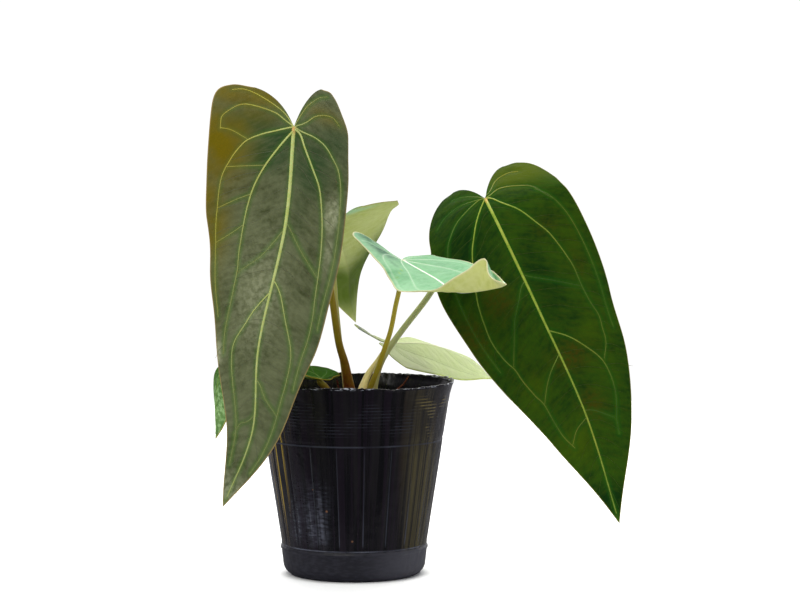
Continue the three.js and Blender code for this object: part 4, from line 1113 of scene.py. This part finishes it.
def film_plastic(settings):
    """Black polyethylene film, blow-moulded: nearly black with a wavy satin gloss and long soft streaks
    of painted sheen down the wall. Pleats, ridges, the line above the pleats and the ring carry painted
    highlights and the torn rim painted glints, the left is scuffed with a painted reflection there,
    painted amber reflections lie at the sides, and the foot is duller, with a painted reflection on its
    right."""
    material, tree, shader, node = new_material("moulded_black_polyethylene", {
        "IOR": 1.5, "Specular IOR Level": 0.24})
    spot = node("ShaderNodeTexCoord").outputs["Object"]
    x, y, z = node("ShaderNodeSeparateXYZ", {0: spot}).outputs
    outer = node("ShaderNodeAttribute", attribute_name="outer").outputs["Fac"]
    # streaks and threads run straight down the tapered wall, 12 and 26 to a radius: about 4 mm and
    # 2 mm wide. Grain is about 1 mm, waves about 15 mm, scratches about 1 mm high and 4 mm wide, and
    # specks about 8 mm apart.
    level, flat = (node("ShaderNodeMapping", {"Vector": spot, "Scale": scale})
                   for scale in ((1.0, 1.0, 0.0), (0.3, 0.3, 1.0)))
    outwards = node("ShaderNodeVectorMath", {0: level}, operation="NORMALIZE")
    drawn, long = (node("ShaderNodeVectorMath", {0: spot, 1: (0.0, 0.0, share), 2: outwards},
                        operation="MULTIPLY_ADD") for share in (1.2, 0.2))
    streaks, threads, grain, waves, scratches = (
        node("ShaderNodeTexNoise", {"Vector": where, "Scale": scale, "Detail": detail})
        for where, scale, detail in ((drawn, 12.0, 4.0), (long, 26.0, 2.0), (spot, 950.0, 4.0),
                                     (spot, 70.0, 2.0), (flat, 800.0, 3.0)))
    specks = node("ShaderNodeTexVoronoi", {"Vector": spot, "Scale": 130.0})
    pick = node("ShaderNodeSeparateColor", {0: specks.outputs["Color"]})
    # place across a pleat, from 0 to 1 with its line at 0.5, and across a ridge, from -1 to 1
    turn = node("ShaderNodeMath", {0: y, 1: x}, operation="ARCTAN2")
    count = settings.pleats / math.tau
    pleat = node("ShaderNodeMath", {0: turn, 1: count, 2: 0.5 - settings.pleat_first * count},
                 operation="MULTIPLY_ADD")
    pleat = node("ShaderNodeMath", {0: pleat}, operation="FRACT")
    ridge = node("ShaderNodeMath", {0: z, 1: math.tau / settings.ridge_pitch}, operation="MULTIPLY")
    ridge = node("ShaderNodeMath", {0: ridge}, operation="SINE")

    foot_top = z, 0.017, 0.0195
    # scuffed patch on the left, rougher, and carrying a painted reflection
    scuffed_sheen = patch(tree, (x, -0.042, -0.030), (x, -0.020, -0.006, 1.0, 0.0),
                  (y, -0.03, -0.01, 1.0, 0.0), (z, 0.018, 0.028, 0.2, 1.0), (z, 0.036, 0.075, 1.0, 0.0),
                  (streaks, 0.3, 0.66, 0.2, 1.0), (scratches, 0.25, 0.75, 0.2, 1.0))
    foot = patch(tree, (*foot_top, 1.0, 0.0))
    # each coat of the wall, from the first to the last: its colour and the edges of its patch
    marks = (
        # painted sheen: soft streaks and threads down the wall
        ("1d1b1e", (streaks, 0.35, 0.75, 0.0, 0.9)),
        ("1a141d", (threads, 0.45, 0.6, 0.0, 0.7)),
        # painted reflections: an olive gleam on the right, a gold one on the left, and gold on the ridges
        ("4a4428", (x, 0.024, 0.038, 0.0, 0.75), (x, 0.045, 0.052, 1.0, 0.2), (y, 0.0, 0.025, 1.0, 0.1),
         (threads, 0.38, 0.62, 0.2, 1.0), (z, 0.070, 0.095, 1.0, 0.45), (outer, 0.0, 1.0)),
        ("86701e", (x, -0.043, -0.036, 1.0, 0.0), (threads, 0.55, 0.63), (z, 0.03, 0.05, 0.4, 1.0),
         (outer, 0.0, 1.0), (y, -0.012, 0.008, 1.0, 0.12)),
        ("7d6f38", (x, 0.034, 0.042), (ridge, 0.0, 0.9), (z, 0.084, 0.09), (z, 0.106, 0.112, 1.0, 0.0),
         (waves, 0.48, 0.6), (outer, 0.0, 1.0, 0.0, 0.6)),
        # scuffed patch with a painted reflection, then the foot: dull, a painted reflection paler on its
        # right, rubbed
        ("565a68", (scuffed_sheen, 0.0, 1.0, 0.0, 0.7)),
        ("202027", (foot, 0.0, 1.0, 0.0, 0.85)),
        ("56565f", (*foot_top, 1.0, 0.0), (x, 0.0, 0.04, 0.0, 0.5), (scratches, 0.3, 0.7, 0.85, 1.0)),
        ("3a3a44", (*foot_top, 0.25, 0.0), (scratches, 0.4, 0.65)),
        # painted highlights on pleats, ridges, the line above the pleats and the ring, and painted glints
        # on the torn rim
        ("3c3f4a", (pleat, 0.5, 0.525), (pleat, 0.535, 0.565, 1.0, 0.0), (z, 0.020, 0.024),
         (z, 0.076, 0.083, 1.0, 0.0), (streaks, 0.3, 0.6, 0.3, 0.9), (z, 0.02, 0.07, 1.0, 0.4)),
        ("2f3139", (ridge, 0.3, 1.0, 0.0, 0.75), (z, 0.086, 0.090), (z, 0.104, 0.110, 1.0, 0.0),
         (waves, 0.42, 0.62), (scratches, 0.35, 0.6, 0.2, 1.0)),
        ("34363f", (z, 0.0810, 0.0816), (z, 0.0819, 0.0825, 1.0, 0.0), (waves, 0.35, 0.6, 0.3, 1.0)),
        ("4c4f5a", (z, 0.0182, 0.0187), (z, 0.0189, 0.0194, 1.0, 0.0), (waves, 0.35, 0.6, 0.3, 1.0)),
        ("b8bcc8", (z, 0.1153, 0.1161, 0.0, 0.8), (scratches, 0.54, 0.62)),
        ("6b4a34", (specks, 0.05, 0.12, 1.0, 0.0), (pick, 0.92, 0.95)),
    )
    base = coats(tree, tuple(settings.colour), *marks)
    satin = patch(tree, (streaks, 0.3, 0.7, 0.17, 0.27))
    for dull in (scuffed_sheen, foot):
        satin = node("ShaderNodeMath", {0: dull, 1: 0.14, 2: satin}, operation="MULTIPLY_ADD")
    joined = node("ShaderNodeMath", {0: grain, 1: 0.12, 2: streaks}, operation="MULTIPLY_ADD")
    fine = node("ShaderNodeBump", {"Height": joined, "Strength": 0.5, "Distance": 0.3 * MM})
    broad = node("ShaderNodeBump", {"Height": waves, "Strength": 0.8, "Distance": 1.6 * MM, "Normal": fine})
    feed(shader, {"Base Color": base, "Roughness": satin, "Normal": broad})
    return material


def paper_floor(colour):
    """White studio paper on a light table: matt and even, with a little light from below, and none
    right under the pot."""
    material, tree, shader, node = new_material("backlit_studio_paper", {
        "Roughness": 0.9, "IOR": 1.5, "Specular IOR Level": 0.1, "Emission Strength": 0.3})
    spot = node("ShaderNodeTexCoord").outputs["Object"]
    away = node("ShaderNodeVectorMath", {0: spot}, operation="LENGTH").outputs["Value"]
    # paper tooth about 2.5 mm
    tooth = node("ShaderNodeTexNoise", {"Vector": spot, "Scale": 400.0, "Detail": 3.0})
    # the pot's gloss sees the sheet dimmer than the camera does
    seen = node("ShaderNodeLightPath").outputs["Is Glossy Ray"]
    paper = coats(tree, colour, ("ffffff", (tooth, 0.3, 0.7)), ("707076", seen))
    lit = coats(tree, "000000", ("ffffff", (away, 0.041, 0.047)), ("000000", seen))
    feed(shader, {"Base Color": paper, "Emission Color": lit})
    return material


# Pieces

def wall_radius(z):
    """Outer radius of the pot's wall at a height."""
    return WALL_FOOT_RADIUS + (z - WALL_FOOT_Z) * WALL_SLOPE


def turned_faces(rows, count):
    """Faces of a closed turned shape: rings of points between two poles, points 0 and the last."""
    last = rows * count + 1
    ring = np.arange(count)
    after = (ring + 1) % count
    faces = [[0, 1 + b, 1 + a] for a, b in zip(ring, after)]
    for row in range(rows - 1):
        low, high = 1 + row * count, 1 + (row + 1) * count
        faces += np.stack([low + ring, low + after, high + after, high + ring], -1).tolist()
    top = 1 + (rows - 1) * count
    faces += [[last, top + a, top + b] for a, b in zip(ring, after)]
    return faces


def pot_angles(pleats, first):
    """Directions round the pot, close together at each pleat's line."""
    step = math.tau / pleats
    near = np.radians((-2.6, -1.7, -1.1, -0.7, -0.35, 0, 0.35, 0.7, 1.1, 1.7, 2.6))
    between = np.linspace(near[-1], step + near[0], 14)[1:-1]
    return np.concatenate([first + k * step + np.concatenate([near, between]) for k in range(pleats)])


def smooth_noise(random, count, size):
    """Random numbers round a ring, smoothed over so many steps, with a spread of one."""
    values = random.standard_normal(count)
    reach = np.minimum(np.arange(count), count - np.arange(count))
    kernel = np.exp(-(reach / size) ** 2)
    smooth = np.real(np.fft.ifft(np.fft.fft(values) * np.fft.fft(kernel)))
    return smooth / smooth.std()


def turned_points(low, rings, high):
    """Points of a closed turned shape: its lower pole, rings of (x, y, z) columns, its upper pole."""
    return np.concatenate([[low], *(np.stack(np.broadcast_arrays(*ring), -1) for ring in rings), [high]])


class ANTHURIUM_OT_pot(bpy.types.Operator):
    """Build the thin black pot with its pleats, ridges, ragged rim and drain holes"""

    bl_idname = "anthurium.pot"
    bl_label = "Pot"

    def execute(self, context):
        s = context.scene.anthurium_pot
        rim, top = s.rim_radius / MM, s.height / MM
        angles = pot_angles(s.pleats, s.pleat_first)
        count = len(angles)
        random = np.random.default_rng(POT_SEED)
        lift = 0.4 * np.sin(3 * angles + 1) + 0.25 * np.sin(7 * angles)
        lift += 0.16 * smooth_noise(random, count, 2) + 0.1 * smooth_noise(random, count, 0.8)
        bulge = 0.12 * smooth_noise(random, count, 1.2)
        outline = [*FOOT_OUTLINE, *((wall_radius(z), z) for z in np.arange(18.6, 79, 1.9))]
        outline += [(wall_radius(z) - sunk, z) for z, sunk in BAND_OUTLINE]
        outline += [(wall_radius(z), z) for z in np.arange(83.0, 107, 0.45)]
        outline += [(np.interp(z, (107, top - 2), (wall_radius(107), rim - 0.6)), z)
                    for z in np.linspace(107.8, top - 2, 6)]
        inner = [(np.interp(z, (109, top - 3), (wall_radius(109) - POT_WALL, rim - 1.6)), z)
                 for z in (top - 3, top - 4.5, 109)]
        inner += [(wall_radius(z) - POT_WALL, z) for z in np.arange(106, 20, -3.2)]
        inner += [*FOOT_INSIDE, (38.9, POT_BASE - FOOT_DROP + 0.6), (37.8, POT_BASE - FOOT_DROP)]
        # each ring: radius, height, share of the rim's raggedness, whether it is outside
        rings = [(r, z, 0, 1) for r, z in outline]
        rings += [(rim - r, top + z, share, 0) for r, z, share in LIP]
        rings += [(r, z, 0, 0) for r, z in inner]
        r, z, share, outside = np.array(rings).T
        soft = np.where(share > 0, 0.25, np.clip((z - 16) / 20, 0, 1) * np.clip((top - z) / 20, 0.25, 1))
        r, z, share = r[:, None], z[:, None], share[:, None]
        out = r + share * bulge
        columns = zip(out * np.cos(angles), out * np.sin(angles), z + share * lift)
        points = turned_points((0, 0, -FOOT_DROP), columns, (0, 0, POT_BASE - FOOT_DROP))
        pot = mesh_object("film_pot", points, turned_faces(len(rings), count),
                          fields={"soft": np.pad(np.repeat(soft, count), 1),
                                  "outer": np.pad(np.repeat(outside, count), 1)})
        run_tree(pot, pot_tree(), {
            "Pleats": s.pleats, "Pleat Depth": s.pleat_depth, "First Pleat": s.pleat_first,
            "Ridge Pitch": s.ridge_pitch, "Ridge Height": s.ridge_height, "Wobble": s.wobble,
            "Material": film_plastic(s)})
        self.drill(pot)
        finished(pot, "pot_plastic", "pot")
        return {"FINISHED"}

    def drill(self, pot):
        """Cuts the drain holes through the base."""
        points, faces, sides = [], [], 24
        for k in range(DRAIN_HOLES):
            turn = (k + 0.5) * math.tau / DRAIN_HOLES
            points += [(DRAIN_RING * math.cos(turn) + DRAIN_RADIUS * math.cos(a),
                        DRAIN_RING * math.sin(turn) + DRAIN_RADIUS * math.sin(a), z)
                       for z in (-4, 4) for a in np.linspace(0, math.tau, sides, endpoint=False)]
            low = [2 * sides * k + j for j in range(sides)]
            high = [j + sides for j in low]
            faces += [low[::-1], high]
            faces += [[low[j - 1], low[j], high[j], high[j - 1]] for j in range(sides)]
        drill = mesh_object("drain_holes", points, faces)
        cut = pot.modifiers.new("Drain holes", "BOOLEAN")
        cut.operation, cut.solver, cut.object = "DIFFERENCE", "EXACT", drill
        made_plain(pot)
        bpy.data.objects.remove(drill)


class ANTHURIUM_OT_mix(bpy.types.Operator):
    """Fill the pot with bark mix and strew chips over it"""

    bl_idname = "anthurium.mix"
    bl_label = "Potting mix"

    def execute(self, context):
        s = context.scene.anthurium_mix
        angles = np.linspace(0, math.tau, MIX_SIDES, endpoint=False)

        def height(x, y):
            bank = 6 * np.exp(-(np.hypot(x + 12, y + 6) / 18) ** 2)
            return (SOIL_Z + bank + 1.2 * np.sin(0.19 * x + 1) * np.cos(0.23 * y)
                    + 0.8 * np.sin(0.45 * x - 0.3 * y + 2))

        def inside(z):
            return wall_radius(z) - POT_WALL - MIX_GAP

        floor = POT_BASE - FOOT_DROP + MIX_GAP
        side = [(38, floor), (40, 6), (inside(22) - 0.4, 22), (inside(60) - 0.4, 60),
                (inside(96) - 0.6, 96)]
        surface = (inside(97) - 1.2, 50, 46, 41, 35, 28, 20, 12, 5)
        rings = [(r * np.cos(angles), r * np.sin(angles), z) for r, z in side]
        for r in surface:
            x, y = r * np.cos(angles), r * np.sin(angles)
            rings.append((x, y, height(x, y)))
        points = turned_points((0, 0, floor), rings, (0, 0, height(0, 0)))
        # chips lie on all but the outermost ring of the surface
        top = np.arange(len(points)) > (len(side) + 1) * MIX_SIDES
        mix = mesh_object("bark_mix", points, turned_faces(len(rings), MIX_SIDES),
                          fields={"top": top, "tint": np.full(len(points), 0.1)})
        run_tree(mix, chips_tree(), {"Spacing": s.spacing, "Chip Size": s.chip_size, "Seed": s.seed,
                                     "Material": composted_bark()})
        # chips beside the wall are pressed in from it
        for vertex in mix.data.vertices:
            vertex.co.xy *= min(1.0, inside(96) * MM / max(vertex.co.xy.length, MM))
        finished(mix, "bark_mix", "potting_mix")
        return {"FINISHED"}


class ANTHURIUM_OT_crown(bpy.types.Operator):
    """Build the short ringed stem that the stalks sit on"""

    bl_idname = "anthurium.crown"
    bl_label = "Crown"

    def execute(self, context):
        count, rows = 72, 46
        angles = np.linspace(0, math.tau, count, endpoint=False)
        # shares of the crown's radius and of its height
        profile = [(0.62, 0), (0.82, 0.22), (0.78, 0.3), (0.95, 0.5), (0.9, 0.58), (1, 0.8), (0.72, 1)]
        share, level = np.array(profile).T
        random = np.random.default_rng(CROWN_SEED)
        rings = []
        for at in np.linspace(0, 1, rows):
            reach = np.interp(at, level, share)
            lump = 1 + 0.05 * np.sin(5 * angles + 9 * at) + 0.012 * smooth_noise(random, count, 3)
            scar = 1 - 0.05 * math.exp(-(((at * 7) % 1 - 0.5) / 0.12) ** 2)
            z = CROWN_Z[0] + at * (CROWN_Z[1] - CROWN_Z[0]) + 0.5 * np.sin(2 * angles + 5 * at)
            wide = reach * lump * scar
            rings.append((CROWN_CENTRE[0] + CROWN_RADII[0] * wide * np.cos(angles),
                          CROWN_CENTRE[1] + CROWN_RADII[1] * wide * np.sin(angles), z))
        points = turned_points((*CROWN_CENTRE, CROWN_Z[0] - 1), rings, (*CROWN_CENTRE, CROWN_Z[1] + 0.3))
        crown = mesh_object("ringed_crown", points, turned_faces(rows, count))
        crown.data.materials.append(corky_skin("corky_crown_skin", "4a3a22", "7d6a44", 2.4))
        finished(crown, "crown_tissue", "crown")
        return {"FINISHED"}


class ANTHURIUM_OT_roots(bpy.types.Operator):
    """Build the two thin aerial roots"""

    bl_idname = "anthurium.roots"
    bl_label = "Aerial roots"

    def execute(self, context):
        s = context.scene.anthurium_stems
        skin = corky_skin("corky_root_skin", "4c1c12", "8a4a34", 1.1)
        random = np.random.default_rng(ROOT_SEED)
        for name, path in ROOTS.items():
            points, gone = even_steps(path, 0.6)
            radius = s.root_radius / MM * (1 - 0.4 * gone / gone[-1])
            radius *= 1 + 0.05 * random.standard_normal(len(gone))
            radius[-3:] *= (0.9, 0.7, 0.35)
            lay_tubes(f"root_{name}", [(points, radius)], {},
                      {"Ring Points": 14, "Swell": 1.0, "Material": skin}, "root", f"aerial_root_{name}")
        return {"FINISHED"}


class ANTHURIUM_OT_stalks(bpy.types.Operator):
    """Build the leaf stalks, flared where they leave the crown"""

    bl_idname = "anthurium.stalks"
    bl_label = "Leaf stalks"

    def execute(self, context):
        s = context.scene.anthurium_stems
        for name, (path, base, shank) in STALKS.items():
            blade = Blade(name)
            point, _, _, facing = blade.midrib(np.array([STALK_ENTRY]))
            points, gone = even_steps([*path, tuple(point[0] - STALK_DEPTH * facing[0])], 1.0)
            left = gone[-1] - gone
            radius = shank + (base - shank) * np.exp(-np.maximum(gone - FLARE_START, 0) / FLARE_LENGTH)
            radius += KNEE_SWELL * shank * np.exp(-left / KNEE_LENGTH)
            # the end is thinned, so that it stays under the blade
            sink = abs(np.dot(unit(points[-1] - points[-6]), facing[0]))
            radius = np.minimum(radius, STALK_DEPTH + left * max(sink, 0.3))
            lay_tubes(f"stalk_{name}", [(points, radius)], {"rise": gone / gone[-1]},
                      {"Ring Points": s.ring_points, "Swell": s.swell, "Material": stalk_skin(name)},
                      f"stalk_{name}", f"petiole_{name}")
        return {"FINISHED"}


class ANTHURIUM_OT_blades(bpy.types.Operator):
    """Build the quilted heart-shaped blades"""

    bl_idname = "anthurium.blades"
    bl_label = "Leaf blades"

    def execute(self, context):
        s = context.scene.anthurium_blades
        for seed, name in enumerate(LEAVES):
            blade = blade_mesh(name, seed, s)
            blade.data.materials.append(velvet_blade(name))
            finished(blade, f"leaf_{name}", f"blade_{name}")
        return {"FINISHED"}


class ANTHURIUM_OT_ribs(bpy.types.Operator):
    """Lay the raised ribs on the blades"""

    bl_idname = "anthurium.ribs"
    bl_label = "Leaf ribs"

    def execute(self, context):
        s = context.scene.anthurium_blades
        for seed, name in enumerate(LEAVES):
            paths = rib_paths(name, seed, s)
            yellow_and_painted_backlight, fading = (np.concatenate([path[k] for path in paths]) for k in (2, 3))
            lay_tubes(f"leaf_{name}_ribs", paths, {"yellow_and_painted_backlight": yellow_and_painted_backlight, "fading": fading},
                      {"Ring Points": 8, "Swell": 1.0, "Material": rib_tissue(name)}, f"leaf_{name}")
        return {"FINISHED"}


class ANTHURIUM_OT_stage(bpy.types.Operator):
    """Lay the pale floor and set the camera and the soft light"""

    bl_idname = "anthurium.stage"
    bl_label = "Stage"

    def execute(self, context):
        s = context.scene.anthurium_stage
        scene = context.scene
        scene.view_settings.view_transform = "Standard"
        # the sheet ends just in front of the pot, so that the pot mirrors the dark room there
        floor = mesh_object("studio_floor", [(x, y, -FOOT_DROP) for x, y in (
            (-900, -104), (900, -104), (900, 1100), (-900, 1100))], [[0, 1, 2, 3]])
        floor.data.materials.append(paper_floor(tuple(s.floor_colour)))
        self.light_sky(scene, s.sky)
        self.panel("back_panel", s.back_light, (0.1, 0.8, 1.35), (0.02, 0.0, 0.16), 1.5, "fffdf8")
        self.panel("key_panel", s.key_light, (-0.8, -1.4, 1.3), (0.03, 0.0, 0.14), 1.2, "fffdf6")
        camera = bpy.data.objects.new("camera", bpy.data.cameras.new("camera"))
        camera.location = CAMERA_PLACE
        camera.rotation_euler = (math.radians(90 - CAMERA_DIP), 0, 0)
        camera.data.lens, camera.data.sensor_width = s.lens, 36
        camera.data.clip_start, camera.data.clip_end = 0.05, 50
        scene.collection.objects.link(camera)
        scene.camera = camera
        return {"FINISHED"}

    def light_sky(self, scene, strength):
        """White surroundings; a gloss mirrors them bright behind and dark in front."""
        world = bpy.data.worlds.new("studio")
        scene.world = world
        world.use_nodes = True
        tree = world.node_tree
        node = functools.partial(add_node, tree)
        soft = feed(tree.nodes["Background"], {0: rgba("fbfcff"), 1: strength})
        seen = node("ShaderNodeBackground", {0: rgba("ffffff"), 1: 1.05})
        way = node("ShaderNodeTexCoord").outputs["Generated"]
        _, y, z = node("ShaderNodeSeparateXYZ", {0: way}).outputs
        behind, above = patch(tree, (y, 0.5, 0.97)), patch(tree, (z, 0.1, 0.8, 0.03, 0.5))
        most = node("ShaderNodeMath", {0: behind, 1: above}, operation="MAXIMUM")
        mirrored = node("ShaderNodeBackground", {0: rgba("fbfbff"), 1: most})
        path = node("ShaderNodeLightPath").outputs
        lit = node("ShaderNodeMixShader", {0: path["Is Glossy Ray"], 1: soft, 2: mirrored})
        mix = node("ShaderNodeMixShader", {0: path["Is Camera Ray"], 1: lit, 2: seen})
        feed(tree.nodes["World Output"], {0: mix})

    def panel(self, name, power, place_at, aim, size, colour):
        """A square soft light aimed at a point."""
        data = bpy.data.lights.new(name, "AREA")
        data.energy, data.size, data.color = power, size, linear(colour)
        lamp = bpy.data.objects.new(name, data)
        lamp.location = place_at
        lamp.rotation_euler = (Vector(aim) - Vector(place_at)).to_track_quat("-Z", "Y").to_euler()
        bpy.context.scene.collection.objects.link(lamp)


OPERATORS = (
    ANTHURIUM_OT_pot, ANTHURIUM_OT_mix, ANTHURIUM_OT_crown, ANTHURIUM_OT_roots, ANTHURIUM_OT_stalks,
    ANTHURIUM_OT_blades, ANTHURIUM_OT_ribs, ANTHURIUM_OT_stage,
)


class ANTHURIUM_PT_panel(bpy.types.Panel):
    """The plant's pieces, each with its sizes."""

    bl_idname = "ANTHURIUM_PT_panel"
    bl_label = "Potted Anthurium"
    bl_space_type = "VIEW_3D"
    bl_region_type = "UI"
    bl_category = "Anthurium"

    def draw(self, context):
        layout = self.layout
        for operator in OPERATORS:
            layout.operator(operator.bl_idname)
        for name, group in GROUPS.items():
            box = layout.box()
            for prop in group.__annotations__:
                box.prop(getattr(context.scene, name), prop)


def register():
    """Registers the settings, the operators and the panel."""
    for group in GROUPS.values():
        bpy.utils.register_class(group)
    for operator in (*OPERATORS, ANTHURIUM_PT_panel):
        bpy.utils.register_class(operator)
    for name, group in GROUPS.items():
        setattr(bpy.types.Scene, name, bpy.props.PointerProperty(type=group))


def unregister():
    """Takes everything back out."""
    for name in GROUPS:
        delattr(bpy.types.Scene, name)
    for made in (ANTHURIUM_PT_panel, *reversed(OPERATORS), *GROUPS.values()):
        bpy.utils.unregister_class(made)


def main():
    """Builds every piece in order."""
    register()
    for operator in OPERATORS:
        name = operator.bl_idname.split(".")[1]
        getattr(bpy.ops.anthurium, name)()


if __name__ == "__main__":
    main()
